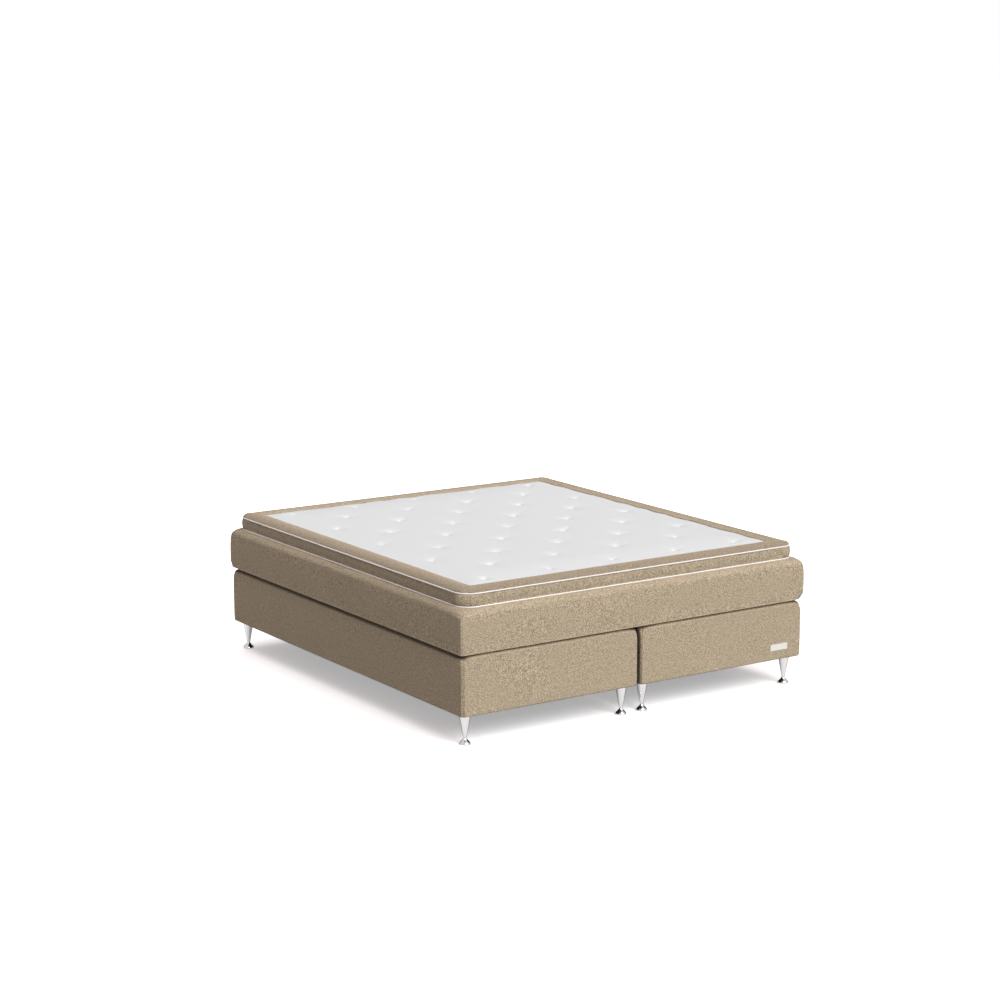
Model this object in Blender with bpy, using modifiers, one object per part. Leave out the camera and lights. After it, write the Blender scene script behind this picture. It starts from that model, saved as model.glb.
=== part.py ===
"""Box spring bed for a 180 by 200 cm mattress, as an assembly of separate pieces.

Two sprung bases stand side by side on turned metal legs with levelling feet. They carry one
mattress, and the mattress carries a topper with a tufted top panel.

Metres, +Z up. The origin is on the floor under the middle of the bed, the foot end faces -Y and
the sleeper's head lies at +Y. "Left" is the -X side, "front" is the foot end.
"""
import math

import bpy
import bmesh

# Whole bed
BED_WIDTH = 1.800
BED_LENGTH = 2.000
UNDER_BED_HEIGHT = 0.1305
BASE_HEIGHT = 0.2580
MATTRESS_HEIGHT = 0.1838
BASE_INSET = 0.008
BASES_APART = 0.012
SEAT_GAP = 0.0003

# Upholstered cover of a base
COVER_WALL = 0.004
BASE_CORNER_RADIUS = 0.018
BASE_TOP_RADIUS = 0.018
BASE_BOTTOM_RADIUS = 0.006
BASE_LIP = 0.088
SHARP_RADIUS = 0.001
ROUND_STEPS = 3

# Wooden frame of a base
FRAME_SIDE_GAP = 0.0018
FRAME_HEIGHT = 0.045
SIDE_RAIL_WIDTH = 0.045
END_RAIL_DEPTH = 0.095
SLAT_COUNT = 3
SLAT_WIDTH = 0.070

# Spring unit and padding of a base
BASE_PAD_HEIGHT = 0.045
BASE_COIL_PITCH = 0.088
SCALLOP_DEPTH_SHARE = 0.16
SCALLOP_STEPS = 3

# Dust cover under a base
DUST_COVER_THICKNESS = 0.0012
DUST_COVER_OVERLAP = 0.010

# Legs
LEG_SIDE_INSET = 0.0490
LEG_END_INSET = 0.0570
LEG_TOP_RADIUS = 0.0230
LEG_COLLAR_RADIUS = 0.0245
LEG_COLLAR_HEIGHT = 0.0040
LEG_EDGE_ROUND = 0.0008
LEG_TIP_RADIUS = 0.0072
LEG_TIP_HEIGHT = 0.0300
LEG_STUD_RADIUS = 0.0050
LEG_STUD_LENGTH = 0.044
LEG_BORE_DEPTH = 0.040
TURNED_STEPS = 16

# Levelling feet
LEVELLER_STUD_RADIUS = 0.0040
LEVELLER_STUD_LENGTH = 0.030
LEVELLER_NECK_RADIUS = 0.0066
LEVELLER_DISC_RADIUS = 0.0235
LEVELLER_RIM_HEIGHT = 0.0028
LEVELLER_EDGE_ROUND = 0.0007
LEVELLER_FLARE_STEPS = 6
RUNNING_CLEARANCE = 0.0003

# Nuts that the legs screw into
LEG_NUT_BARREL_RADIUS = 0.0070
LEG_NUT_FLANGE_RADIUS = 0.0150
LEG_NUT_FLANGE_THICKNESS = 0.0020
LEG_NUT_LENGTH = 0.030
NUT_STEPS = 10

# Straps that join the two bases
STRAP_LENGTH = 0.140
STRAP_WIDTH = 0.040
STRAP_THICKNESS = 0.0030
STRAP_CORNER_RADIUS = 0.008
STRAP_PLACE_SHARES = (-0.28, 0.28)

# Bare label plate on the front of the right base
PLATE_WIDTH = 0.0960
PLATE_HEIGHT = 0.0300
PLATE_THICKNESS = 0.0025
PLATE_EDGE_ROUND = 0.0007
PLATE_SIDE_INSET = 0.1280
PLATE_HEIGHT_ON_BASE = 0.0585

# Mattress
MATTRESS_CORNER_RADIUS = 0.011
MATTRESS_TOP_RADIUS = 0.030
MATTRESS_BOTTOM_RADIUS = 0.016
MATTRESS_DRAW_IN = 0.003
MATTRESS_SIDE_STEPS = 4
MATTRESS_TOP_STEPS = 5
MATTRESS_SEAM_INSET = 0.026
FOAM_CASE_WALL = 0.045
POCKET_PITCH = 0.072

# Topper
TOPPER_SIDE_INSET = 0.0330
TOPPER_END_INSET = 0.0350
TOPPER_CORNER_RADIUS = 0.068
TOPPER_BASE_THICKNESS = 0.0022
TOPPER_SIDE_HEIGHT = 0.0549
TOPPER_BULGE = 0.0050
TOPPER_BULGE_STEPS = 4
TOPPER_BORDER_WALL = 0.003
TOPPER_CORNER_STEPS = 6
PIPING_RADIUS = 0.0025
BORDER_WIDTH = 0.0860
BORDER_CROWN = 0.0146
BORDER_CROWN_PLACE = 0.0440
BORDER_SEAM_RISE = 0.0100
BORDER_RISE_STEPS = 5
BORDER_FALL_STEPS = 3

# Tufted top panel of the topper
PANEL_GAP = 0.0005
PANEL_THICKNESS = 0.0160
PANEL_EDGE_DROP = 0.0010
PANEL_CROWN = 0.0090
PANEL_CROWN_REACH = 0.0600
TUFT_PITCH_X = 0.330
TUFT_PITCH_Y = 0.400
TUFT_DEPTH = 0.0150
TUFT_REACH = 0.0420
TUFT_EDGE_MARGIN = 0.0550
GRID_PER_PITCH_X = 4
GRID_PER_PITCH_Y = 8

CUT_OVERRUN = 0.002
MERGE_DISTANCE = 0.00005
QUARTER_TURN = math.pi / 2
SHARP_ANGLE = math.radians(50)

# What the sizes above give
BASE_WIDTH = (BED_WIDTH - 2 * BASE_INSET - BASES_APART) / 2
BASE_LENGTH = BED_LENGTH - 2 * BASE_INSET
BASE_CENTRE_X = (BASES_APART + BASE_WIDTH) / 2
BASE_TOP = UNDER_BED_HEIGHT + BASE_HEIGHT
CAVITY_X = BASE_WIDTH / 2 - COVER_WALL
CAVITY_Y = BASE_LENGTH / 2 - COVER_WALL
FRAME_X = CAVITY_X - FRAME_SIDE_GAP
FRAME_Y = CAVITY_Y - FRAME_SIDE_GAP
FRAME_BOTTOM = UNDER_BED_HEIGHT + COVER_WALL + SEAT_GAP
FRAME_TOP = FRAME_BOTTOM + FRAME_HEIGHT
PAD_TOP = BASE_TOP - COVER_WALL - SEAT_GAP
PAD_BOTTOM = PAD_TOP - BASE_PAD_HEIGHT
LEG_TOP = UNDER_BED_HEIGHT - SEAT_GAP
MATTRESS_BOTTOM = BASE_TOP + SEAT_GAP
MATTRESS_TOP = MATTRESS_BOTTOM + MATTRESS_HEIGHT
TOPPER_X = BED_WIDTH / 2 - TOPPER_SIDE_INSET
TOPPER_Y = BED_LENGTH / 2 - TOPPER_END_INSET
TOPPER_BOTTOM = MATTRESS_TOP + SEAT_GAP
BORDER_BOTTOM = TOPPER_BOTTOM + TOPPER_BASE_THICKNESS + SEAT_GAP
BORDER_SEAM = BORDER_BOTTOM + TOPPER_SIDE_HEIGHT + BORDER_SEAM_RISE
PANEL_X = TOPPER_X - BORDER_WIDTH - PANEL_GAP
PANEL_Y = TOPPER_Y - BORDER_WIDTH - PANEL_GAP
PANEL_BOTTOM = BORDER_SEAM - PANEL_THICKNESS

for old in list(bpy.data.objects):
    bpy.data.objects.remove(old, do_unlink=True)

PARTS = bpy.data.collections.new("box_spring_bed")
CUTTERS = bpy.data.collections.new("cutters")
bpy.context.scene.collection.children.link(PARTS)
bpy.context.scene.collection.children.link(CUTTERS)


def make_material(name, colour, roughness, metallic=0.0):
    """A plain finish: colour, roughness and whether it is metal."""
    material = bpy.data.materials.new(name)
    material.use_nodes = True
    shader = material.node_tree.nodes["Principled BSDF"]
    shader.inputs["Base Color"].default_value = (*colour, 1.0)
    shader.inputs["Roughness"].default_value = roughness
    shader.inputs["Metallic"].default_value = metallic
    return material


UPHOLSTERY = make_material("beige_upholstery", (0.44, 0.36, 0.26), 0.9)
TICKING = make_material("white_ticking", (0.76, 0.76, 0.76), 0.85)
PIPING = make_material("white_piping", (0.86, 0.84, 0.80), 0.7)
DUST_CLOTH = make_material("grey_dust_cloth", (0.10, 0.10, 0.10), 0.95)
FOAM = make_material("cream_foam", (0.80, 0.76, 0.62), 0.95)
SPRING_FELT = make_material("spring_pocket_felt", (0.72, 0.72, 0.70), 0.9)
PINE = make_material("pine", (0.62, 0.44, 0.25), 0.6)
CHROME = make_material("chrome", (0.80, 0.80, 0.82), 0.08, 1.0)
ZINC = make_material("zinc_plate", (0.62, 0.63, 0.65), 0.35, 1.0)
PLATE_METAL = make_material("silver_plate", (0.85, 0.84, 0.82), 0.25, 1.0)


def add_part(name, mesh, material, collection=PARTS):
    """A new object of this mesh, named, coloured and put in its collection."""
    part = bpy.data.objects.new(name, mesh)
    mesh.materials.append(material)
    collection.objects.link(part)
    return part


def mesh_from(bm, name, smooth=False):
    """The finished mesh of a bmesh, which is freed, shaded smooth but for its sharp edges."""
    mesh = bpy.data.meshes.new(name)
    bm.to_mesh(mesh)
    bm.free()
    if smooth:
        mesh.shade_smooth()
        mesh.set_sharp_from_angle(angle=SHARP_ANGLE)
    return mesh


def arc(centre_inset, centre_z, radius, start, end, steps):
    """Points of a round edge in the plane of inset and height, both ends included."""
    turns = [start + (end - start) * i / steps for i in range(steps + 1)]
    return [(centre_inset - radius * math.cos(t), centre_z + radius * math.sin(t)) for t in turns]


def offset_profile(profile, distance):
    """The same profile moved inwards, to its right as it runs up the side and over the top."""
    moved = []
    for i, (inset, z) in enumerate(profile):
        before = profile[max(i - 1, 0)]
        after = profile[min(i + 1, len(profile) - 1)]
        sides = []
        for start, end in ((before, (inset, z)), ((inset, z), after)):
            length = math.dist(start, end)
            if length > 0:
                sides.append(((end[1] - start[1]) / length, (start[0] - end[0]) / length))
        normal = (sum(s[0] for s in sides), sum(s[1] for s in sides))
        reach = distance * len(sides) / (normal[0] ** 2 + normal[1] ** 2)
        moved.append((inset + normal[0] * reach, z + normal[1] * reach))
    return moved


def rounded_loop(bm, half_x, half_y, radius, z, steps):
    """A rounded rectangle's vertices, counter-clockwise from above."""
    loop = []
    for corner in range(4):
        turn = corner * QUARTER_TURN
        sign_x = 1 if corner in (0, 3) else -1
        sign_y = 1 if corner in (0, 1) else -1
        for i in range(steps + 1):
            angle = turn + QUARTER_TURN * i / steps
            x = sign_x * (half_x - radius) + radius * math.cos(angle)
            y = sign_y * (half_y - radius) + radius * math.sin(angle)
            loop.append(bm.verts.new((x, y, z)))
    return loop


def loft(name, half_x, half_y, profile, corner, least_corner, steps, caps):
    """A rounded rectangle swept along a profile of (inset, height), lowest outside point first."""
    bm = bmesh.new()
    loops = [
        rounded_loop(bm, half_x - inset, half_y - inset, max(corner - inset, least_corner), z, steps)
        for inset, z in profile
    ]
    count = len(loops[0])
    for lower, upper in zip(loops, loops[1:]):
        for i in range(count):
            j = (i + 1) % count
            bm.faces.new((lower[i], lower[j], upper[j], upper[i]))
    if "bottom" in caps:
        bm.faces.new(list(reversed(loops[0])))
    if "top" in caps:
        bm.faces.new(loops[-1])
    return mesh_from(bm, name, smooth=True)


def add_wall(part, thickness):
    """Give an open skin its thickness, on the inside."""
    wall = part.modifiers.new("wall", "SOLIDIFY")
    wall.thickness = thickness
    wall.offset = -1
    wall.use_even_offset = True


def add_cut(part, cutter):
    """Take a closed cutter out of a part."""
    cut = part.modifiers.new(cutter.name, "BOOLEAN")
    cut.operation = "DIFFERENCE"
    cut.solver = "EXACT"
    cut.object = cutter


def board(name, size, centre, material, collection=PARTS):
    """A straight board: a cube scaled to its size."""
    bm = bmesh.new()
    bmesh.ops.create_cube(bm, size=1)
    bmesh.ops.scale(bm, vec=size, verts=bm.verts)
    part = add_part(name, mesh_from(bm, name), material, collection)
    part.location = centre
    return part


def round_upright_edges(part, radius, side_y):
    """Round a board's upright edges on one end, such as where a cover goes round the corner."""
    bm = bmesh.new()
    bm.from_mesh(part.data)
    upright = [
        edge for edge in bm.edges
        if edge.verts[0].co.z != edge.verts[1].co.z
        and all(vert.co.y * side_y > 0 for vert in edge.verts)
    ]
    bmesh.ops.bevel(bm, geom=upright, offset=radius, segments=ROUND_STEPS, profile=0.5, affect="EDGES")
    bm.to_mesh(part.data)
    bm.free()


def turned(name, profile, steps, material, collection=PARTS):
    """A turned piece: a profile of (radius, height), top first, swept round Z."""
    bm = bmesh.new()
    points = [bm.verts.new((radius, 0, z)) for radius, z in profile]
    for start, end in zip(points, points[1:]):
        bm.edges.new((start, end))
    part = add_part(name, mesh_from(bm, name), material, collection)
    spin = part.modifiers.new("turn", "SCREW")
    spin.steps = steps
    spin.render_steps = steps
    spin.use_merge_vertices = True
    spin.merge_threshold = MERGE_DISTANCE
    spin.use_smooth_shade = True
    return part


def cutter_rod(name, radius, low, high, place):
    """A round cutter standing on Z from low to high."""
    rod = turned(
        name, [(0, high), (radius, high), (radius, low), (0, low)], NUT_STEPS, ZINC, CUTTERS
    )
    rod.location = (*place, 0)
    rod.hide_render = True
    rod.display_type = "WIRE"
    return rod


def scalloped_block(name, half_x, half_y, pitch, low, high, material):
    """A block of sprung pockets: its outline follows the outer row of pockets."""
    counts = [max(round(2 * half / pitch), 1) for half in (half_x, half_y)]
    depth = SCALLOP_DEPTH_SHARE * pitch
    corners = [(half_x, -half_y), (half_x, half_y), (-half_x, half_y), (-half_x, -half_y)]
    outline = []
    for side in range(4):
        start, end = corners[side], corners[(side + 1) % 4]
        count = counts[1 - side % 2]
        length = math.dist(start, end)
        along = ((end[0] - start[0]) / length, (end[1] - start[1]) / length)
        out = (along[1], -along[0])
        for i in range(count * SCALLOP_STEPS):
            swell = math.sin(math.pi * (i % SCALLOP_STEPS) / SCALLOP_STEPS)
            run = depth + (length - 2 * depth) * i / (count * SCALLOP_STEPS)
            inset = depth * (1 - swell)
            outline.append((
                start[0] + along[0] * run - out[0] * inset,
                start[1] + along[1] * run - out[1] * inset,
            ))
    curve = bpy.data.curves.new(name, "CURVE")
    curve.dimensions = "2D"
    curve.fill_mode = "BOTH"
    curve.extrude = (high - low) / 2
    spline = curve.splines.new("POLY")
    spline.points.add(len(outline) - 1)
    for point, (x, y) in zip(spline.points, outline):
        point.co = (x, y, 0, 1)
    spline.use_cyclic_u = True
    curve.materials.append(material)
    block = bpy.data.objects.new(name, curve)
    block.location = (0, 0, (low + high) / 2)
    PARTS.objects.link(block)
    return block


def piping_ring(name, z):
    """A cord sewn round the topper's edge, as one closed tube."""
    reach = PIPING_RADIUS + SEAT_GAP
    bm = bmesh.new()
    path = rounded_loop(
        bm, TOPPER_X + reach, TOPPER_Y + reach, TOPPER_CORNER_RADIUS + reach, z, TOPPER_CORNER_STEPS
    )
    places = [tuple(vert.co) for vert in path]
    bm.free()
    curve = bpy.data.curves.new(name, "CURVE")
    curve.dimensions = "3D"
    curve.bevel_depth = PIPING_RADIUS
    curve.bevel_resolution = 1
    spline = curve.splines.new("POLY")
    spline.points.add(len(places) - 1)
    for point, place in zip(spline.points, places):
        point.co = (*place, 1)
    spline.use_cyclic_u = True
    curve.materials.append(PIPING)
    ring = bpy.data.objects.new(name, curve)
    PARTS.objects.link(ring)
    return ring


def base_cover_profile():
    """Underside lip, bottom edge, side and top edge of a base's cover, outside."""
    low = UNDER_BED_HEIGHT
    bottom = arc(BASE_BOTTOM_RADIUS, low + BASE_BOTTOM_RADIUS, BASE_BOTTOM_RADIUS,
                 -QUARTER_TURN, 0, ROUND_STEPS)
    top = arc(BASE_TOP_RADIUS, BASE_TOP - BASE_TOP_RADIUS, BASE_TOP_RADIUS,
              0, QUARTER_TURN, ROUND_STEPS + 1)
    return [(BASE_LIP, low)] + bottom + top


def leg_places():
    """Where the legs of one base stand, about the base's own middle."""
    x = BASE_WIDTH / 2 - LEG_SIDE_INSET
    y = BASE_LENGTH / 2 - LEG_END_INSET
    return {"front": (x, -y), "rear": (x, y)}


def leg_profile():
    """A tapered leg with its collar and stud above and the leveller's bore below, top first."""
    stud_top = LEG_TOP + LEG_STUD_LENGTH
    collar_low = LEG_TOP - LEG_COLLAR_HEIGHT
    bore = LEVELLER_STUD_RADIUS + RUNNING_CLEARANCE
    return [
        (0, stud_top),
        (LEG_STUD_RADIUS, stud_top),
        (LEG_STUD_RADIUS, LEG_TOP),
        (LEG_COLLAR_RADIUS - LEG_EDGE_ROUND, LEG_TOP),
        (LEG_COLLAR_RADIUS, LEG_TOP - LEG_EDGE_ROUND),
        (LEG_COLLAR_RADIUS, collar_low),
        (LEG_TOP_RADIUS, collar_low),
        (LEG_TIP_RADIUS, LEG_TIP_HEIGHT),
        (bore, LEG_TIP_HEIGHT),
        (bore, LEG_TIP_HEIGHT + LEG_BORE_DEPTH),
        (0, LEG_TIP_HEIGHT + LEG_BORE_DEPTH),
    ]


def leveller_profile():
    """A levelling foot: threaded stud, narrow neck and a bell that flares to the floor, top first."""
    neck = LEG_TIP_HEIGHT - SEAT_GAP
    stud_top = neck + LEVELLER_STUD_LENGTH
    flare = []
    for i in range(LEVELLER_FLARE_STEPS + 1):
        share = i / LEVELLER_FLARE_STEPS
        spread = (LEVELLER_DISC_RADIUS - LEVELLER_NECK_RADIUS) * (1 - math.cos(math.pi * share)) / 2
        drop = (neck - LEVELLER_RIM_HEIGHT) * share
        flare.append((LEVELLER_NECK_RADIUS + spread, neck - drop))
    return [
        (0, stud_top),
        (LEVELLER_STUD_RADIUS, stud_top),
        (LEVELLER_STUD_RADIUS, neck),
        *flare,
        (LEVELLER_DISC_RADIUS, LEVELLER_EDGE_ROUND),
        (LEVELLER_DISC_RADIUS - LEVELLER_EDGE_ROUND, 0),
        (0, 0),
    ]


def leg_nut_profile(clearance=0.0, overrun=0.0):
    """The nut that a leg's stud screws into, or with a clearance the hole that it sits in."""
    top = FRAME_TOP - SEAT_GAP
    under_flange = top - LEG_NUT_FLANGE_THICKNESS - clearance
    flange = LEG_NUT_FLANGE_RADIUS + clearance
    barrel = LEG_NUT_BARREL_RADIUS + clearance
    if overrun:
        bottom = UNDER_BED_HEIGHT - overrun
        return [(0, top + overrun), (flange, top + overrun), (flange, under_flange),
                (barrel, under_flange), (barrel, bottom), (0, bottom)]
    bottom = top - LEG_NUT_LENGTH
    bore = LEG_STUD_RADIUS + SEAT_GAP
    return [(bore, top), (flange, top), (flange, under_flange), (barrel, under_flange),
            (barrel, bottom), (bore, bottom), (bore, top)]


def build_base(side, sign):
    """One sprung base: cover, frame, springs, padding, dust cover, legs, nuts and levellers."""
    centre_x = sign * BASE_CENTRE_X
    prefix = f"{side}_base"
    middle = bpy.data.objects.new(f"{prefix}_middle", None)
    middle.location = (centre_x, 0, 0)
    CUTTERS.objects.link(middle)

    cover = add_part(
        f"{prefix}_cover",
        loft("cover", BASE_WIDTH / 2, BASE_LENGTH / 2, base_cover_profile(),
             BASE_CORNER_RADIUS, SHARP_RADIUS, ROUND_STEPS, ("top",)),
        UPHOLSTERY,
    )
    add_wall(cover, COVER_WALL)
    cover.parent = middle

    dust = board(
        f"{prefix}_dust_cover",
        (BASE_WIDTH - 2 * (BASE_LIP - DUST_COVER_OVERLAP),
         BASE_LENGTH - 2 * (BASE_LIP - DUST_COVER_OVERLAP), DUST_COVER_THICKNESS),
        (0, 0, UNDER_BED_HEIGHT - SEAT_GAP - DUST_COVER_THICKNESS / 2),
        DUST_CLOTH,
    )
    dust.parent = middle

    build_frame(prefix, middle, cover)
    springs = scalloped_block(
        f"{prefix}_spring_unit", CAVITY_X - SEAT_GAP, CAVITY_Y - SEAT_GAP, BASE_COIL_PITCH,
        FRAME_TOP + SEAT_GAP, PAD_BOTTOM - SEAT_GAP, SPRING_FELT,
    )
    springs.parent = middle

    inner_round = BASE_TOP_RADIUS - COVER_WALL - SEAT_GAP
    pad_profile = [(0, PAD_BOTTOM)] + arc(
        inner_round, PAD_TOP - inner_round, inner_round, 0, QUARTER_TURN, ROUND_STEPS + 1
    )
    pad = add_part(
        f"{prefix}_top_pad",
        loft("pad", CAVITY_X - SEAT_GAP, CAVITY_Y - SEAT_GAP, pad_profile,
             BASE_CORNER_RADIUS - COVER_WALL, SHARP_RADIUS, ROUND_STEPS, ("bottom", "top")),
        FOAM,
    )
    pad.parent = middle

    for end, (x, y) in leg_places().items():
        for place, x_sign in (("outer", sign), ("inner", -sign)):
            build_leg(f"{side}_{end}_{place}", middle, x_sign * x, y)


def build_frame(prefix, middle, cover):
    """Rails round the edge and slats across, with the cover stapled under them."""
    rail_z = (FRAME_BOTTOM + FRAME_TOP) / 2
    side_x = FRAME_X - SIDE_RAIL_WIDTH / 2
    side_length = 2 * (FRAME_Y - END_RAIL_DEPTH - SEAT_GAP)
    slat_length = 2 * (FRAME_X - SIDE_RAIL_WIDTH - SEAT_GAP)
    corner = BASE_CORNER_RADIUS - COVER_WALL
    for name, side in (("left_rail", -1), ("right_rail", 1)):
        rail = board(f"{prefix}_{name}", (SIDE_RAIL_WIDTH, side_length, FRAME_HEIGHT),
                     (side * side_x, 0, rail_z), PINE)
        rail.parent = middle
    for name, side in (("front_rail", -1), ("rear_rail", 1)):
        rail = board(f"{prefix}_{name}", (2 * FRAME_X, END_RAIL_DEPTH, FRAME_HEIGHT),
                     (0, side * (FRAME_Y - END_RAIL_DEPTH / 2), rail_z), PINE)
        round_upright_edges(rail, corner, side)
        rail.parent = middle
        cut_leg_holes(rail, cover, middle, side)
    for i in range(SLAT_COUNT):
        y = side_length * ((i + 1) / (SLAT_COUNT + 1) - 1 / 2)
        slat = board(f"{prefix}_slat_{i + 1}", (slat_length, SLAT_WIDTH, FRAME_HEIGHT),
                     (0, y, rail_z), PINE)
        slat.parent = middle


def cut_leg_holes(rail, cover, middle, end):
    """Stepped holes for the nuts in a rail, and clear holes for the studs in the cover's lip."""
    x, y = leg_places()["rear" if end > 0 else "front"]
    for side in (-1, 1):
        nut_hole = turned(f"{rail.name}_nut_hole_{side}",
                          leg_nut_profile(RUNNING_CLEARANCE, CUT_OVERRUN), NUT_STEPS, ZINC, CUTTERS)
        nut_hole.location = (side * x, y, 0)
        nut_hole.hide_render = True
        nut_hole.display_type = "WIRE"
        stud_hole = cutter_rod(
            f"{rail.name}_stud_hole_{side}", LEG_STUD_RADIUS + SEAT_GAP,
            UNDER_BED_HEIGHT - CUT_OVERRUN, FRAME_BOTTOM + CUT_OVERRUN, (side * x, y),
        )
        nut_hole.parent = middle
        stud_hole.parent = middle
        add_cut(rail, nut_hole)
        add_cut(cover, stud_hole)


def build_leg(name, middle, x, y):
    """A turned leg, the nut that it screws into and the levelling foot below it."""
    for kind, profile, steps, material in (
        ("leg", leg_profile(), TURNED_STEPS, CHROME),
        ("leveller", leveller_profile(), TURNED_STEPS, CHROME),
        ("leg_nut", leg_nut_profile(), NUT_STEPS, ZINC),
    ):
        piece = turned(f"{name}_{kind}", profile, steps, material)
        piece.location = (x, y, 0)
        piece.parent = middle


def build_straps():
    """Flat straps across the gap between the bases, screwed up under both."""
    for name, share in zip(("front_joining_strap", "rear_joining_strap"), STRAP_PLACE_SHARES):
        strap = board(
            name, (STRAP_LENGTH, STRAP_WIDTH, STRAP_THICKNESS),
            (0, share * BASE_LENGTH, UNDER_BED_HEIGHT - SEAT_GAP - STRAP_THICKNESS / 2), ZINC,
        )
        for side in (-1, 1):
            round_upright_edges(strap, STRAP_CORNER_RADIUS, side)


def build_plate():
    """The bare label plate, with its edges eased."""
    x = BED_WIDTH / 2 - BASE_INSET - PLATE_SIDE_INSET
    y = -BASE_LENGTH / 2 - SEAT_GAP - PLATE_THICKNESS / 2
    z = UNDER_BED_HEIGHT + PLATE_HEIGHT_ON_BASE
    plate = board("label_plate", (PLATE_WIDTH, PLATE_THICKNESS, PLATE_HEIGHT), (x, y, z), PLATE_METAL)
    eased = plate.modifiers.new("eased_edges", "BEVEL")
    eased.width = PLATE_EDGE_ROUND
    eased.segments = 2


def mattress_profile():
    """Seam under the bottom edge, rolled bottom edge, swelling side and rolled top edge."""
    low = MATTRESS_BOTTOM
    side_low = low + MATTRESS_BOTTOM_RADIUS
    side_high = MATTRESS_TOP - MATTRESS_TOP_RADIUS
    bottom = arc(MATTRESS_BOTTOM_RADIUS + MATTRESS_DRAW_IN, side_low, MATTRESS_BOTTOM_RADIUS,
                 -QUARTER_TURN, 0, ROUND_STEPS + 1)
    top = arc(MATTRESS_TOP_RADIUS + MATTRESS_DRAW_IN, side_high, MATTRESS_TOP_RADIUS,
              0, QUARTER_TURN, MATTRESS_TOP_STEPS)
    side = []
    for i in range(1, MATTRESS_SIDE_STEPS):
        share = i / MATTRESS_SIDE_STEPS
        inset = MATTRESS_DRAW_IN * (1 - math.sin(math.pi * share))
        side.append((inset, side_low + (side_high - side_low) * share))
    return [(MATTRESS_SEAM_INSET, low)] + bottom + side + top


def build_mattress():
    """Cover, bottom panel, foam case and pocket springs of the mattress."""
    half_x, half_y = BED_WIDTH / 2, BED_LENGTH / 2
    profile = mattress_profile()
    cover = add_part(
        "mattress_cover",
        loft("mattress_cover", half_x, half_y, profile, MATTRESS_CORNER_RADIUS,
             MATTRESS_CORNER_RADIUS, ROUND_STEPS, ("top",)),
        UPHOLSTERY,
    )
    add_wall(cover, COVER_WALL)

    opening_x = half_x - MATTRESS_SEAM_INSET - SEAT_GAP
    opening_y = half_y - MATTRESS_SEAM_INSET - SEAT_GAP
    add_part(
        "mattress_bottom_panel",
        loft("mattress_bottom_panel", opening_x, opening_y,
             [(0, MATTRESS_BOTTOM), (0, MATTRESS_BOTTOM + COVER_WALL)],
             MATTRESS_CORNER_RADIUS + SEAT_GAP, SHARP_RADIUS, ROUND_STEPS, ("bottom", "top")),
        DUST_CLOTH,
    )

    foam = add_part(
        "mattress_foam_case",
        loft("mattress_foam_case", half_x, half_y, offset_profile(profile, COVER_WALL + SEAT_GAP),
             MATTRESS_CORNER_RADIUS, MATTRESS_CORNER_RADIUS, ROUND_STEPS, ("top",)),
        FOAM,
    )
    add_wall(foam, FOAM_CASE_WALL)

    core_low = MATTRESS_BOTTOM + COVER_WALL + SEAT_GAP
    core_high = MATTRESS_TOP - COVER_WALL - FOAM_CASE_WALL - 2 * SEAT_GAP
    inset = MATTRESS_DRAW_IN + COVER_WALL + FOAM_CASE_WALL + 2 * SEAT_GAP
    scalloped_block("mattress_pocket_springs", half_x - inset, half_y - inset, POCKET_PITCH,
                    core_low, core_high, SPRING_FELT)


def border_profile():
    """Side and top frame of the topper's border, from the lower seam to the panel's seam."""
    side = []
    for i in range(TOPPER_BULGE_STEPS + 1):
        share = i / TOPPER_BULGE_STEPS
        bulge = TOPPER_BULGE * math.sin(math.pi * share)
        side.append((-bulge, BORDER_BOTTOM + TOPPER_SIDE_HEIGHT * share))
    upper_seam = BORDER_BOTTOM + TOPPER_SIDE_HEIGHT
    rise = []
    for i in range(1, BORDER_RISE_STEPS + 1):
        angle = QUARTER_TURN * i / BORDER_RISE_STEPS
        rise.append((BORDER_CROWN_PLACE * (1 - math.cos(angle)), upper_seam + BORDER_CROWN * math.sin(angle)))
    fall = []
    for i in range(1, BORDER_FALL_STEPS + 1):
        share = i / BORDER_FALL_STEPS
        inset = BORDER_CROWN_PLACE + (BORDER_WIDTH - BORDER_CROWN_PLACE) * share
        drop = (BORDER_CROWN - BORDER_SEAM_RISE) * share ** 2
        fall.append((inset, upper_seam + BORDER_CROWN - drop))
    return side + rise + fall


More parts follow.
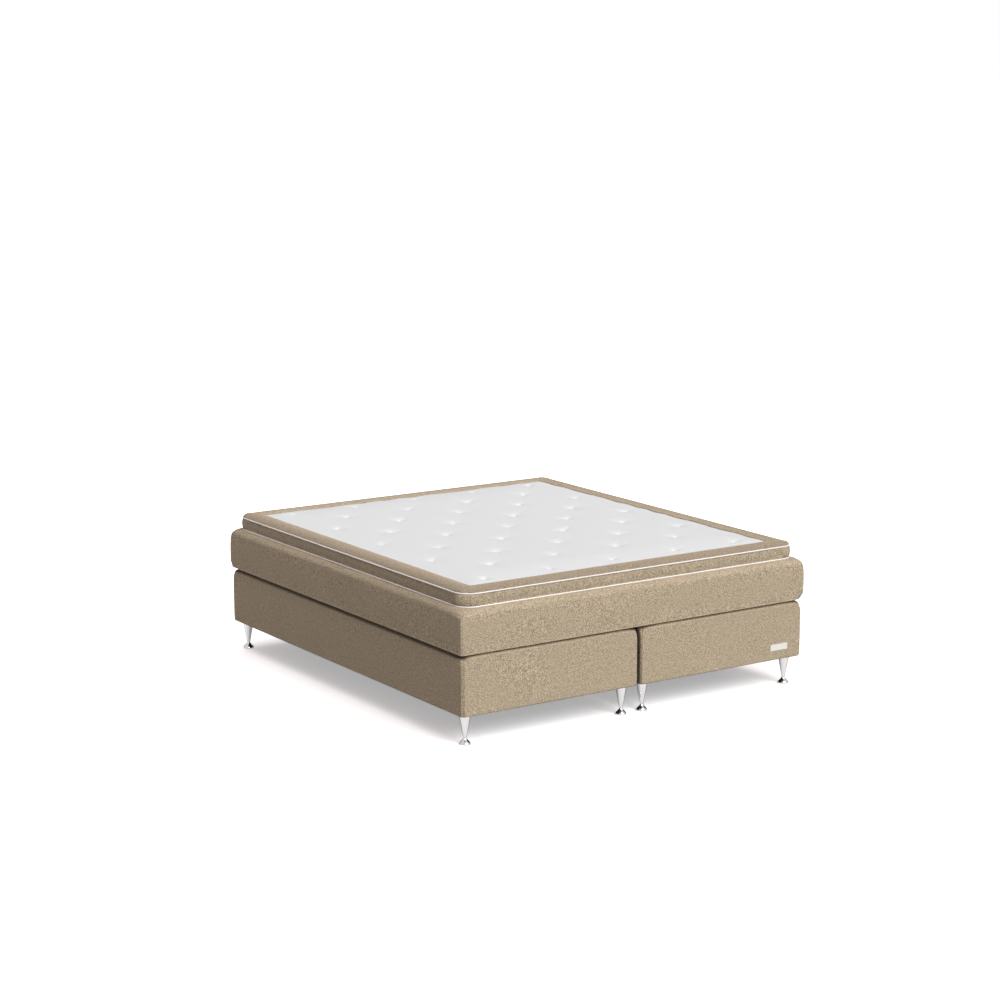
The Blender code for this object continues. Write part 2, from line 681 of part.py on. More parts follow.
def build_topper():
    """Border, tufted panel, core, bottom panel and the two pipings of the topper."""
    profile = border_profile()
    border = add_part(
        "topper_border",
        loft("topper_border", TOPPER_X, TOPPER_Y, profile, TOPPER_CORNER_RADIUS, SHARP_RADIUS,
             TOPPER_CORNER_STEPS, ()),
        UPHOLSTERY,
    )
    add_wall(border, TOPPER_BORDER_WALL)

    add_part(
        "topper_bottom_panel",
        loft("topper_bottom_panel", TOPPER_X, TOPPER_Y,
             [(0, TOPPER_BOTTOM), (0, TOPPER_BOTTOM + TOPPER_BASE_THICKNESS)],
             TOPPER_CORNER_RADIUS, SHARP_RADIUS, TOPPER_CORNER_STEPS, ("bottom", "top")),
        TICKING,
    )

    core_profile = offset_profile(profile, TOPPER_BORDER_WALL + SEAT_GAP)
    core_profile[-1] = (BORDER_WIDTH, core_profile[-1][1])
    recess = PANEL_BOTTOM - SEAT_GAP
    core_profile.append((BORDER_WIDTH, recess))
    add_part(
        "topper_core",
        loft("topper_core", TOPPER_X, TOPPER_Y, core_profile, TOPPER_CORNER_RADIUS, SHARP_RADIUS,
             TOPPER_CORNER_STEPS, ("bottom", "top")),
        FOAM,
    )
    build_panel()
    piping_ring("topper_lower_piping", TOPPER_BOTTOM + PIPING_RADIUS)
    piping_ring("topper_upper_piping", BORDER_BOTTOM + TOPPER_SIDE_HEIGHT)


def panel_lines(half, pitch, per_pitch):
    """Grid lines across the panel: its two edges, and lines that pass through every tuft."""
    step = pitch / per_pitch
    reach = int((half - TUFT_EDGE_MARGIN) / step)
    return [-half] + [i * step for i in range(-reach, reach + 1)] + [half]


def panel_height(x, y, tufts):
    """Height of the padded top: a low crown with a sewn dimple at each tuft."""
    edge = min(PANEL_X - abs(x), PANEL_Y - abs(y))
    crown = PANEL_CROWN * (1 - math.exp(-edge / PANEL_CROWN_REACH))
    nearest = min(math.dist((x, y), tuft) for tuft in tufts)
    dimple = TUFT_DEPTH * math.exp(-nearest / TUFT_REACH) * min(edge / TUFT_EDGE_MARGIN, 1)
    return BORDER_SEAM - PANEL_EDGE_DROP + crown - dimple


def tuft_places():
    """Tufts in staggered rows, two sets of rows half a pitch apart."""
    limit_x, limit_y = PANEL_X - TUFT_EDGE_MARGIN, PANEL_Y - TUFT_EDGE_MARGIN
    places = []
    rows = int(2 * limit_y / TUFT_PITCH_Y)
    columns = int(2 * limit_x / TUFT_PITCH_X)
    for row in range(-rows, rows + 1):
        shift = (row % 2) / 2
        for column in range(-columns, columns + 1):
            x = (column + shift) * TUFT_PITCH_X
            y = row * TUFT_PITCH_Y / 2
            if abs(x) <= limit_x and abs(y) <= limit_y:
                places.append((x, y))
    return places


def build_panel():
    """The tufted top panel, a grid whose lines pass through the tufts."""
    tufts = tuft_places()
    lines_x = panel_lines(PANEL_X, TUFT_PITCH_X, GRID_PER_PITCH_X)
    lines_y = panel_lines(PANEL_Y, TUFT_PITCH_Y, GRID_PER_PITCH_Y)
    bm = bmesh.new()
    bmesh.ops.create_grid(
        bm, x_segments=len(lines_x) - 1, y_segments=len(lines_y) - 1, size=1 / 2
    )
    for vert in bm.verts:
        x = lines_x[round((vert.co.x + 1 / 2) * (len(lines_x) - 1))]
        y = lines_y[round((vert.co.y + 1 / 2) * (len(lines_y) - 1))]
        vert.co = (x, y, panel_height(x, y, tufts))
    rim = [edge for edge in bm.edges if edge.is_boundary]
    sides = bmesh.ops.extrude_edge_only(bm, edges=rim)
    low_rim = [item for item in sides["geom"] if isinstance(item, bmesh.types.BMEdge)]
    for vert in {vert for edge in low_rim for vert in edge.verts}:
        vert.co.z = PANEL_BOTTOM
    bmesh.ops.holes_fill(bm, edges=[edge for edge in low_rim if edge.is_boundary])
    bmesh.ops.recalc_face_normals(bm, faces=bm.faces)
    add_part("topper_top_panel", mesh_from(bm, "topper_top_panel", smooth=True), TICKING)


build_base("left", -1)
build_base("right", 1)
build_straps()
build_plate()
build_mattress()
build_topper()
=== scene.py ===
"""Box spring bed, dressed: cloth, piping, tufting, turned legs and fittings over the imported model.

Laid out as an add-on and run as a script. Metres, +Z up, foot end towards -Y.
"""

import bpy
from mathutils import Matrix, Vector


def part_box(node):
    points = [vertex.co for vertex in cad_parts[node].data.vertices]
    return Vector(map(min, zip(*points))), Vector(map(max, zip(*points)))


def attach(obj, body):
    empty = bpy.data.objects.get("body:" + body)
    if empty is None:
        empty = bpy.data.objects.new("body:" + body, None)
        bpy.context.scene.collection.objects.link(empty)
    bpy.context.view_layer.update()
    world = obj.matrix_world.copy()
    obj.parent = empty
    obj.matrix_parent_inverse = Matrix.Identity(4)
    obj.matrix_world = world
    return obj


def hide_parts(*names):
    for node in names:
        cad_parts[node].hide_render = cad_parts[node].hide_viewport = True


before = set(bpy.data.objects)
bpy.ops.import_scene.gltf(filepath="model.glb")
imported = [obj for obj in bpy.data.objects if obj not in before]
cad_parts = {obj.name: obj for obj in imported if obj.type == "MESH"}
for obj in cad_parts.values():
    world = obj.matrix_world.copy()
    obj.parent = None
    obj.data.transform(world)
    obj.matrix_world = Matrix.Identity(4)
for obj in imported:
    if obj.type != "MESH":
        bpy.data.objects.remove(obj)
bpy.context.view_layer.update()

import math

import bmesh
import bpy
import numpy as np
from bpy.props import FloatProperty, FloatVectorProperty, IntProperty, PointerProperty
from mathutils import Vector

bl_info = {
    "name": "Box spring bed",
    "version": (1, 0, 0),
    "blender": (4, 5, 0),
    "location": "View3D > Sidebar > Bed",
    "description": "Dresses a box spring bed with cloth, tufting, piping, turned legs and a stage",
    "category": "Object",
}

SIDES = ("left", "right")
LEG_NAMES = [
    f"{side}_{end}_{place}"
    for side in SIDES for end in ("front", "rear") for place in ("outer", "inner")
]
UP = Vector((0, 0, 1))
# In metres: the gap left between two pieces, what counts as one place, and the first row beside an edge
THIN_GAP = 0.0003
SAME_PLACE = 0.00002
EDGE_ROW = 0.003
WHITE = (1, 1, 1)
TOPPER_CORNER_STEPS = 16
# How unevenly the bows of the topper's seam follow each other
SWAY = 2.1
SWAY_RATE = 7


def colour_setting(name, description, default):
    """A colour that a user may change."""
    return FloatVectorProperty(name=name, description=description, default=default,
                               subtype="COLOR", size=3, min=0, max=1)


def length_setting(name, description, default):
    """A length that a user may change, in metres."""
    return FloatProperty(name=name, description=description, default=default,
                         unit="LENGTH", subtype="DISTANCE", precision=4)


def tone_setting(name, description, default):
    """A brightness that a user may change, where one leaves it as it is."""
    return FloatProperty(name=name, description=description, default=default, min=0)


def scale_setting(name, description, default):
    """How many times a pattern repeats in a metre."""
    return FloatProperty(name=name, description=description, default=default, min=1)


def share_setting(name, description, default):
    """A share from nothing to all of it."""
    return FloatProperty(name=name, description=description, default=default,
                         subtype="FACTOR", min=0, max=1)


class BedClothSettings(bpy.types.PropertyGroup):
    """Colours and yarns of the bed's cloths."""

    upholstery: colour_setting("Upholstery", "Middle tone of the beige cloth", (0.44, 0.367, 0.257))
    fleck_dark: colour_setting("Dark yarn", "Darkest yarns of the beige cloth", (0.17, 0.125, 0.075))
    fleck_light: colour_setting("Light yarn", "Lightest yarns of the beige cloth", (0.74, 0.62, 0.46))
    ticking: colour_setting("Ticking", "White knit of the tufted panel", (0.742, 0.790, 0.802))
    piping: colour_setting("Piping", "White cord sewn round the topper", (0.95, 0.935, 0.90))
    dust_cloth: colour_setting("Dust cloth", "Non-woven cloth under the bases", (0.055, 0.055, 0.058))
    felt: colour_setting("Spring felt", "Felt pockets of the springs", (0.72, 0.72, 0.69))
    foam: colour_setting("Foam", "Padding foam", (0.80, 0.74, 0.58))
    yarn_pitch: length_setting("Yarn pitch", "From one yarn of the beige cloth to the next", 0.0018)
    slub_length: length_setting("Slub length", "How far one tone runs along a yarn", 0.012)
    knit_pitch: length_setting("Knit pitch", "From one loop of the white knit to the next", 0.0014)
    fleck_scale: scale_setting("Fleck scale", "Flecks of the beige cloth", 370)
    clump_scale: scale_setting("Clump scale", "Larger clumps of those flecks", 110)
    nap_scale: scale_setting("Nap scale", "Nap of the beige cloth", 900)
    clump_share: share_setting("Clump share", "How much of the flecks' tone the clumps give", 0.15)
    weave_share: share_setting("Weave share", "How much of the cloth's tone its yarns give", 0.40)
    fleck_spread: share_setting("Fleck spread", "How far the noise goes between two tones of yarn", 0.09)


class BedHardwareSettings(bpy.types.PropertyGroup):
    """Colours of the bed's metal and wood."""

    chrome: colour_setting("Chrome", "Legs and levelling feet", (0.62, 0.625, 0.635))
    zinc: colour_setting("Zinc", "Straps, nuts and screws", (0.55, 0.57, 0.60))
    plate: colour_setting("Label plate", "Bare plate on the front", (0.64, 0.63, 0.60))
    pine_light: colour_setting("Early wood", "Pale wood between the rings", (0.68, 0.49, 0.29))
    pine_dark: colour_setting("Late wood", "Dark rings of the wood", (0.45, 0.26, 0.12))


class BedBaseSettings(bpy.types.PropertyGroup):
    """Sizes of a base's upholstery."""

    corner_radius: length_setting("Corner radius", "Upright corners", 0.010)
    top_corner: length_setting("Top corner", "Radius of the upright corners at the top edge", 0.110)
    bottom_corner: length_setting("Bottom corner", "Radius of the upright corners at the bottom", 0.020)
    inner_corner: length_setting("Inner corner", "Least radius of the corners between the bases", 0.016)
    corner_rise: length_setting("Corner rise", "Height over which the corners grow rounder", 0.060)
    groove: length_setting("Corner groove", "Depth of the seam beside each upright corner", 0.0036)
    groove_width: length_setting("Groove width", "Half the width of that seam's groove", 0.0026)
    top_radius: length_setting("Top radius", "Padded top edge", 0.018)
    top_fall: length_setting("Top fall", "How far the padded top falls towards its edges", 0.0110)
    fall_width: length_setting("Fall width", "How far in from the edge the top falls", 0.045)
    # Painted shade: how dark the base cover's colour is made under the mattress's edge and between the bases
    gap_shade_tone: tone_setting("Rubbed tone", "Tone of the nap where the cover rubs", 0.36)
    bottom_radius: length_setting("Bottom radius", "Edge where the cloth turns under", 0.006)
    lip: length_setting("Lip", "Width of the cloth stapled under the frame", 0.088)
    wall: length_setting("Cloth thickness", "Cloth with its backing", 0.004)
    ripple: length_setting("Ripple", "How far the stretched cloth wanders", 0.0030)
    ripple_size: length_setting("Ripple size", "How long those waves are", 0.30)
    small_ripple: length_setting("Small ripple size", "How long the small waves among them are", 0.07)
    slice_pitch: length_setting("Mesh pitch", "From one row of the cloth's mesh to the next", 0.022)


class BedMattressSettings(bpy.types.PropertyGroup):
    """Sizes of the mattress's cover."""

    top_radius: length_setting("Top roll", "Rolled top edge", 0.030)
    bottom_radius: length_setting("Bottom roll", "Rolled bottom edge", 0.0028)
    corner_radius: length_setting("Corner radius", "Sewn upright corners", 0.0075)
    top_corner: length_setting("Top corner", "Radius of the upright corners at the top", 0.078)
    bottom_corner: length_setting("Bottom corner", "Radius of the front left corner at the bottom", 0.012)
    right_corner: length_setting("Right bottom corner", "Radius of the right corners at the bottom", 0.080)
    rear_corner: length_setting("Rear bottom corner", "Radius of the rear left corner at the bottom", 0.048)
    top_rise: length_setting("Top rise", "Height over which the corners grow rounder upwards", 0.068)
    bottom_rise: length_setting("Bottom rise", "Height over which the corners grow rounder downwards", 0.036)
    groove: length_setting("Corner groove", "Depth of the seam beside each upright corner", 0.0042)
    groove_width: length_setting("Groove width", "Half the width of that seam's groove", 0.0028)
    seam_inset: length_setting("Seam inset", "From the side to the bottom panel's seam", 0.026)
    wall: length_setting("Cover thickness", "Cloth with its quilted backing", 0.004)
    draw_in: length_setting("Draw in", "How far the side draws in at its two edges", 0.0015)
    ripple: length_setting("Ripple", "How far the sides wander", 0.0036)
    ripple_size: length_setting("Ripple size", "How long those waves are", 0.34)
    small_ripple: length_setting("Small ripple size", "How long the small waves among them are", 0.09)
    seam_radius: length_setting("Bottom seam", "Radius of the sewn ridge round the bottom edge", 0.0020)
    slice_pitch: length_setting("Mesh pitch", "From one row of the cover's mesh to the next", 0.024)


class BedTopperSettings(bpy.types.PropertyGroup):
    """Sizes of the topper."""

    corner_radius: length_setting("Corner radius", "Round corners of the topper", 0.068)
    side_height: length_setting("Side height", "Between the lower and the upper piping", 0.0549)
    bulge: length_setting("Bulge", "How far the side swells", 0.0050)
    border_width: length_setting("Border width", "Beige frame round the white panel", 0.0860)
    crown: length_setting("Crown", "Height of the border's top above the upper piping", 0.0178)
    crown_place: length_setting("Crown place", "From the edge to the border's highest line", 0.0460)
    seam_rise: length_setting("Seam rise", "Height of the panel's seam above the upper piping", 0.0092)
    wall: length_setting("Border thickness", "Cloth with its backing", 0.003)
    panel_gap: length_setting("Panel gap", "Between the border and the panel", 0.0005)
    piping_radius: length_setting("Piping radius", "Half of the cord's thickness", 0.0029)
    cord_pitch: length_setting("Piping pitch", "From one ring of a piping's mesh to the next", 0.02)
    cord_wave: length_setting("Piping waves", "How long the small waves of a piping are", 0.02)
    cord_ripple: share_setting("Piping ripple", "How far a piping wanders, as a share of its radius", 0.12)
    tuft_pitch_x: length_setting("Tufts across", "From one tuft to the next in a row", 0.330)
    tuft_pitch_y: length_setting("Tufts along", "From one row to the next but one", 0.400)
    tuft_depth: length_setting("Tuft depth", "How far a tuft is drawn down", 0.0042)
    tuft_reach: length_setting("Tuft reach", "How far a tuft's hollow spreads", 0.0230)
    tuft_margin: length_setting("Tuft margin", "Least distance from a tuft to the panel's edge", 0.0550)
    panel_crown: length_setting("Panel crown", "Height of the panel above its seam", 0.0090)
    sharp_radius: length_setting("Inner corner", "Corner of the border's inner seam", 0.001)
    seam_sink: length_setting("Seam sink", "How deep a mitred corner's seam lies", 0.0050)
    edge_drop: length_setting("Edge drop", "How far the panel's edge lies below the border's seam", 0.001)
    # Painted shade and light: tones that darken the topper's side and its frame by the piping, and lighten
    # the frame by the panel
    side_shade: tone_setting("Nap on the side", "Tone of the topper's side", 0.94)
    piping_shade: tone_setting("Nap by the piping", "Tone of the frame at the piping", 0.68)
    panel_light: tone_setting("Nap by the panel", "Tone of the frame at the panel", 1.10)
    seam_draw: length_setting("Seam draw", "How far the side is drawn in beside the pipings", 0.0030)
    crease: length_setting("Crease", "Depth of the creases round a tuft", 0.0040)
    crease_width: length_setting("Crease width", "Half the width of such a crease", 0.0110)
    crease_length: length_setting("Crease length", "How far such a crease runs", 0.1050)
    wander: length_setting("Seam wander", "How far the panel's seam strays from a straight line", 0.0022)
    wander_pitch: length_setting("Wander pitch", "From one bow of that seam to the next", 0.200)
    wander_reach: length_setting("Wander reach", "How far from the seam that shows", 0.030)
    mesh_pitch: length_setting("Mesh pitch", "From one row of the topper's mesh to the next", 0.0085)


class BedLegSettings(bpy.types.PropertyGroup):
    """Sizes of a turned leg and its levelling foot."""

    collar_radius: length_setting("Collar radius", "Collar under the base", 0.0260)
    collar_height: length_setting("Collar height", "Collar under the base", 0.0040)
    top_radius: length_setting("Top radius", "Taper just below the collar", 0.0250)
    tip_radius: length_setting("Tip radius", "Lower end of the taper", 0.0072)
    edge_round: length_setting("Edge round", "Turned edges", 0.0006)
    stud_radius: length_setting("Foot stud radius", "Threaded stud of the levelling foot", 0.0040)
    neck_radius: length_setting("Neck radius", "Top of the foot's flare", 0.0066)
    disc_radius: length_setting("Disc radius", "Foot on the floor", 0.0235)
    rim_height: length_setting("Rim height", "Thickness of the foot's rim", 0.0028)
    thread_pitch: length_setting("Thread pitch", "Thread of the foot's stud", 0.00125)
    thread_depth: length_setting("Thread depth", "Thread of the foot's stud", 0.0005)
    steps: IntProperty(name="Steps", description="Sides of a turned piece", default=64, min=16, max=128)


class BedFittingSettings(bpy.types.PropertyGroup):
    """Sizes of the label plate, the screws of the joining straps and the dust cloths."""

    plate_edge: length_setting("Plate edge", "Rounding of the plate's edges", 0.0007)
    plate_frame: length_setting("Plate frame", "Width of the raised frame round the plate", 0.0020)
    plate_step: length_setting("Plate step", "Width of the step inside the frame", 0.0008)
    plate_depth: length_setting("Plate depth", "Depth of the field inside the frame", 0.0010)
    screw_inset: length_setting("Outer screw", "From a strap's end to its first screw", 0.014)
    screw_pitch: length_setting("Screw pitch", "From that screw to the next", 0.026)
    screw_radius: length_setting("Screw radius", "Head of a screw", 0.0048)
    screw_height: length_setting("Screw height", "Head of a screw", 0.0022)
    socket_inset: length_setting("Socket inset", "From the flat top of a head to its socket", 0.0006)
    socket_depth: length_setting("Socket depth", "Socket in a screw's head", 0.0010)
    dust_wall: length_setting("Dust cloth", "Thickness of the dust cloth", 0.0006)
    dust_ripple: length_setting("Dust ripple", "How far the dust cloth wanders", 0.0007)
    dust_ripple_size: length_setting("Dust ripple size", "How long those waves are", 0.16)


class BedPaddingSettings(bpy.types.PropertyGroup):
    """Sizes of the springs and the padding inside."""

    base_spring_pitch: length_setting("Base springs", "From one pocket to the next in a base", 0.088)
    mattress_spring_pitch: length_setting("Mattress springs", "From one pocket to the next", 0.072)
    pad_room: length_setting("Pad room", "Between a base's foam pad and its cover", 0.003)
    pad_corner: length_setting("Pad corner", "Corners of that pad", 0.046)
    pad_edge: length_setting("Pad edge", "Top edge of that pad", 0.024)
    case_room: length_setting("Case room", "Between the mattress's foam and the cover's outside", 0.007)
    case_drop: length_setting("Case drop", "Between the foam's top and the cover's", 0.002)
    case_corner: length_setting("Case corner", "Corners of the mattress's foam", 0.070)
    case_edge: length_setting("Case edge", "Top edge of the mattress's foam", 0.026)
    core_room: length_setting("Core room", "Between the topper's core and its border", 0.0015)
    core_edge: length_setting("Core edge", "Top edge of the topper's core", 0.006)
    bottom_corner: length_setting("Bottom corner", "Least corner of the mattress's bottom panel", 0.010)
    bottom_edge: length_setting("Bottom edge", "Edge of the mattress's bottom panel", 0.001)
    topper_bottom_corner: length_setting("Topper bottom corner", "Corners of its bottom panel", 0.068)
    topper_bottom_edge: length_setting("Topper bottom edge", "Edge of its bottom panel", 0.0006)


class BedStageSettings(bpy.types.PropertyGroup):
    """Camera and light."""

    camera_place: FloatVectorProperty(name="Camera place", description="Where the camera stands",
                                      default=(-5.8319, -8.6487, 2.7943), subtype="TRANSLATION", size=3)
    camera_yaw: FloatProperty(name="Camera yaw", description="Turn from straight ahead to the right",
                              default=math.radians(33.7813), subtype="ANGLE")
    camera_pitch: FloatProperty(name="Camera pitch", description="Tilt below the horizon",
                                default=math.radians(10.99), subtype="ANGLE")
    focal_length: FloatProperty(name="Focal length", description="Lens on a 36 mm sensor",
                                default=84.681, unit="CAMERA")
    key_strength: tone_setting("Key light", "Large soft light from the foot end", 2.84)
    key_angle: FloatProperty(name="Key size", description="How large the key light looks",
                             default=math.radians(38), subtype="ANGLE")
    key_from: FloatVectorProperty(name="Key direction", description="Where the key light comes from",
                                  default=(0.0, -0.775, 0.63), subtype="DIRECTION", size=3)
    horizon: tone_setting("Horizon", "Soft light from level with the bed", 0.05)
    zenith: tone_setting("Zenith", "Soft light from straight above", 0.67)
    world_tint: colour_setting("World tint", "Tint of the even light, white being none", (1.0, 0.860, 0.840))
    floor_tone: share_setting("Floor tone", "How pale the floor is", 0.33)
    floor_lift: share_setting("Floor lift", "White that the camera sees added to the floor", 0.38)
    # Painted light: between these two places the floor behind the bed is lifted to white, hiding the bed's
    # shadow there
    painted_light_start: length_setting("Fade start", "Where the floor behind the bed begins to fade to white", 0.90)
    painted_light_end: length_setting("Fade end", "Where the floor behind the bed is white", 1.15)


SETTINGS = {
    "bed_cloth": BedClothSettings,
    "bed_hardware": BedHardwareSettings,
    "bed_base": BedBaseSettings,
    "bed_mattress": BedMattressSettings,
    "bed_topper": BedTopperSettings,
    "bed_legs": BedLegSettings,
    "bed_fittings": BedFittingSettings,
    "bed_padding": BedPaddingSettings,
    "bed_stage": BedStageSettings,
}


class Nodes:
    """Short calls for the nodes that the materials and the world share."""

    def __init__(self, tree):
        self.tree = tree

    def set(self, node, inputs):
        """Give a node's sockets their values or links."""
        for socket, value in inputs.items():
            if isinstance(value, bpy.types.NodeSocket):
                self.tree.links.new(value, node.inputs[socket])
            else:
                node.inputs[socket].default_value = value

    def node(self, kind, inputs=None, **properties):
        """A new node of one kind."""
        made = self.tree.nodes.new("ShaderNode" + kind)
        for name, value in properties.items():
            setattr(made, name, value)
        self.set(made, inputs or {})
        return made

    def math(self, operation, *values):
        """The result of a sum on one to three values."""
        return self.node("Math", dict(enumerate(values)), operation=operation).outputs[0]

    def between(self, factor, low=0, high=1, start=0, end=1):
        """A value that goes from low to high as the factor goes from its start to its end."""
        made = self.node("MapRange", {"Value": factor, "From Min": start, "From Max": end,
                                      "To Min": low, "To Max": high})
        return made.outputs["Result"]

    def mix(self, share, first, second):
        """A value between two values, with a share of the second."""
        return self.node("Mix", {0: share, 2: first, 3: second}).outputs[0]

    def blend(self, share, first, second):
        """A colour between two colours, with a share of the second."""
        made = self.node("Mix", {0: share}, data_type="RGBA")
        for place, colour in ((6, first), (7, second)):
            value = colour if isinstance(colour, bpy.types.NodeSocket) else (*colour, 1)
            self.set(made, {place: value})
        return made.outputs[2]

    def parts(self, vector):
        """The X, Y and Z of a vector."""
        return self.node("SeparateXYZ", {"Vector": vector}).outputs

    def seen_directly(self):
        """One for rays from the camera, mirrors and glass, nothing for rays that light the object."""
        path = self.node("LightPath").outputs
        mirrored = self.math("MAXIMUM", path["Is Camera Ray"], path["Is Glossy Ray"])
        return self.math("MAXIMUM", mirrored, path["Is Transmission Ray"])


class Finish(Nodes):
    """A material, laid by the piece's own coordinates."""

    def __init__(self, name, roughness, metallic=0.0, sheen=0.0):
        self.material = bpy.data.materials.new(name)
        self.material.use_nodes = True
        super().__init__(self.material.node_tree)
        self.shader = self.tree.nodes["Principled BSDF"]
        self.set(self.shader, {"Roughness": roughness, "Metallic": metallic})
        if sheen:
            self.set(self.shader, {"Sheen Weight": sheen, "Sheen Roughness": 0.45})

    def place(self, scale=(1, 1, 1)):
        """The piece's own coordinates, in metres, stretched by a scale."""
        own = self.node("TexCoord").outputs["Object"]
        return self.node("Mapping", {"Vector": own, "Scale": scale}).outputs["Vector"]

    def noise(self, vector, scale, detail=2.0, roughness=0.5):
        """Soft noise from nothing to one."""
        made = self.node("TexNoise", {"Vector": vector, "Scale": scale, "Detail": detail,
                                      "Roughness": roughness})
        return made.outputs["Fac"]

    def bump(self, height, distance, strength):
        """Fine relief of so many metres on the surface."""
        return self.node("Bump", {"Height": height, "Distance": distance,
                                  "Strength": strength}).outputs["Normal"]

    def finish(self, colour, normal=None, roughness=None):
        """Connect the colour, the relief and the roughness, and give the material back."""
        found = {"Base Color": colour, "Normal": normal, "Roughness": roughness}
        self.set(self.shader, {k: v for k, v in found.items() if v is not None})
        return self.material


def dimmed(tone, share):
    """A colour at a share of its brightness, no brighter than white."""
    return [min(channel * share, 1.0) for channel in tone]


def woven(finish, pitch, slub):
    """Height and tone of a plain weave laid by the piece's cloth map."""
    parts = finish.parts(finish.node("UVMap", uv_map="cloth").outputs["UV"])
    across = finish.math("DIVIDE", parts["X"], pitch)
    along = finish.math("DIVIDE", parts["Y"], pitch)
    warp = finish.math("FLOOR", across)
    weft = finish.math("FLOOR", along)
    warp_on_top = finish.math("PINGPONG", finish.math("ADD", warp, weft), 1.0)
    round_warp = finish.math("ABSOLUTE", finish.math("SINE", finish.math("MULTIPLY", across, math.pi)))
    round_weft = finish.math("ABSOLUTE", finish.math("SINE", finish.math("MULTIPLY", along, math.pi)))
    warp_height = finish.math("MULTIPLY", round_warp, finish.between(round_weft, 0.5, 1.0))
    weft_height = finish.math("MULTIPLY", round_weft, finish.between(round_warp, 0.5, 1.0))
    warp_run = finish.node("CombineXYZ", {
        "X": finish.math("MULTIPLY", warp, math.e),
        "Y": finish.math("DIVIDE", parts["Y"], slub)}).outputs[0]
    weft_run = finish.node("CombineXYZ", {
        "X": finish.math("DIVIDE", parts["X"], slub),
        "Y": finish.math("MULTIPLY", weft, math.e), "Z": math.pi}).outputs[0]
    warp_tone = finish.noise(warp_run, scale=1.0, detail=1.0)
    weft_tone = finish.noise(weft_run, scale=1.0, detail=1.0)
    return finish.mix(warp_on_top, weft_height, warp_height), finish.mix(warp_on_top, weft_tone, warp_tone)


def painted_frame_shade(finish):
    """Painted shade and light on the topper's frame: lighter by the white panel, darker by the piping and on
    the side.
    """
    sizes = bpy.context.scene.bed_topper
    half_x, half_y = topper_half_size()
    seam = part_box("topper_border")[0].z + sizes.side_height
    parts = finish.parts(finish.place())
    from_side = finish.math("SUBTRACT", half_x, finish.math("ABSOLUTE", parts["X"]))
    from_end = finish.math("SUBTRACT", half_y, finish.math("ABSOLUTE", parts["Y"]))
    inset = finish.math("MINIMUM", from_side, from_end)
    # Painted shade and light: the frame's colour runs from dark at the piping to light at the panel
    tone = finish.between(inset, sizes.piping_shade, sizes.panel_light, end=sizes.border_width)
    on_top = finish.math("GREATER_THAN", parts["Z"], seam - THIN_GAP)
    return finish.mix(on_top, sizes.side_shade, tone)


def painted_gap_shade(finish):
    """Painted shade on a base's cover: its colour darkens on the top roll under the mattress's long edge and
    in the gap by the other base.
    """
    sizes = bpy.context.scene.bed_base
    low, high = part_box("right_base_cover")
    edge_height = high.z - sizes.top_fall
    parts = finish.parts(finish.place())
    from_middle = finish.math("ABSOLUTE", parts["X"])
    by_side = finish.between(from_middle, start=high.x - sizes.top_radius * 2, end=high.x - sizes.top_radius)
    up_roll = finish.between(parts["Z"], start=edge_height - sizes.top_radius * 0.75,
                             end=edge_height - sizes.top_radius * 0.15)
    in_gap = finish.between(from_middle, start=low.x + sizes.inner_corner * 0.5,
                            end=low.x + sizes.inner_corner * 0.1)
    # Painted shade: the colour darkens where the mattress and the other base shade the cover
    gap_shaded = finish.math("MAXIMUM", finish.math("MULTIPLY", by_side, up_roll), in_gap)
    return finish.between(gap_shaded, 1, sizes.gap_shade_tone)


def upholstery_cloth(name="beige_upholstery", painted_shade=None):
    """Beige melange cloth: light and dark yarns in a plain weave, with a soft nap, and painted shade where a
    shade tone is given.
    """
    cloth = bpy.context.scene.bed_cloth
    finish = Finish(name, roughness=0.92, sheen=0.10)
    finish.set(finish.shader, {"Specular IOR Level": 0.25})
    height, weave = woven(finish, cloth.yarn_pitch, cloth.slub_length)
    flecks = finish.noise(finish.place((1, 1, 0.62)), cloth.fleck_scale, detail=1.0)
    clumps = finish.noise(finish.place((1, 1, 0.6)), cloth.clump_scale, detail=1.0)
    mixed = finish.mix(cloth.clump_share, flecks, clumps)
    melange = finish.between(mixed, start=0.5 - cloth.fleck_spread, end=0.5 + cloth.fleck_spread)
    tone = finish.mix(cloth.weave_share, melange, weave)
    lower = finish.blend(finish.between(tone, end=0.5), cloth.fleck_dark, cloth.upholstery)
    colour = finish.blend(finish.between(tone, start=0.5), lower, cloth.fleck_light)
    # Painted shade: the yarn colour is scaled by a tone that stands in for shade, where one is given
    if painted_shade:
        scaled = finish.node("VectorMath", {0: colour, "Scale": painted_shade(finish)}, operation="SCALE")
        colour = scaled.outputs[0]
    nap = finish.noise(finish.place(), cloth.nap_scale)
    relief = finish.math("ADD", height, finish.math("MULTIPLY", nap, 0.4))
    return finish.finish(colour, finish.bump(relief, distance=cloth.yarn_pitch * 0.22, strength=0.7),
                         finish.between(clumps, 0.86, 0.98))


def ticking_cloth():
    """White stretch knit of the tufted panel: fine loops and a faint mottling."""
    cloth = bpy.context.scene.bed_cloth
    finish = Finish("white_ticking", roughness=0.88, sheen=0.10)
    height, tone = woven(finish, cloth.knit_pitch, cloth.slub_length)
    mottling = finish.noise(finish.place(), scale=9, detail=3.0)
    colour = finish.blend(finish.mix(0.5, tone, mottling), dimmed(cloth.ticking, 0.965), cloth.ticking)
    return finish.finish(colour, finish.bump(height, distance=cloth.knit_pitch * 0.12, strength=0.5))


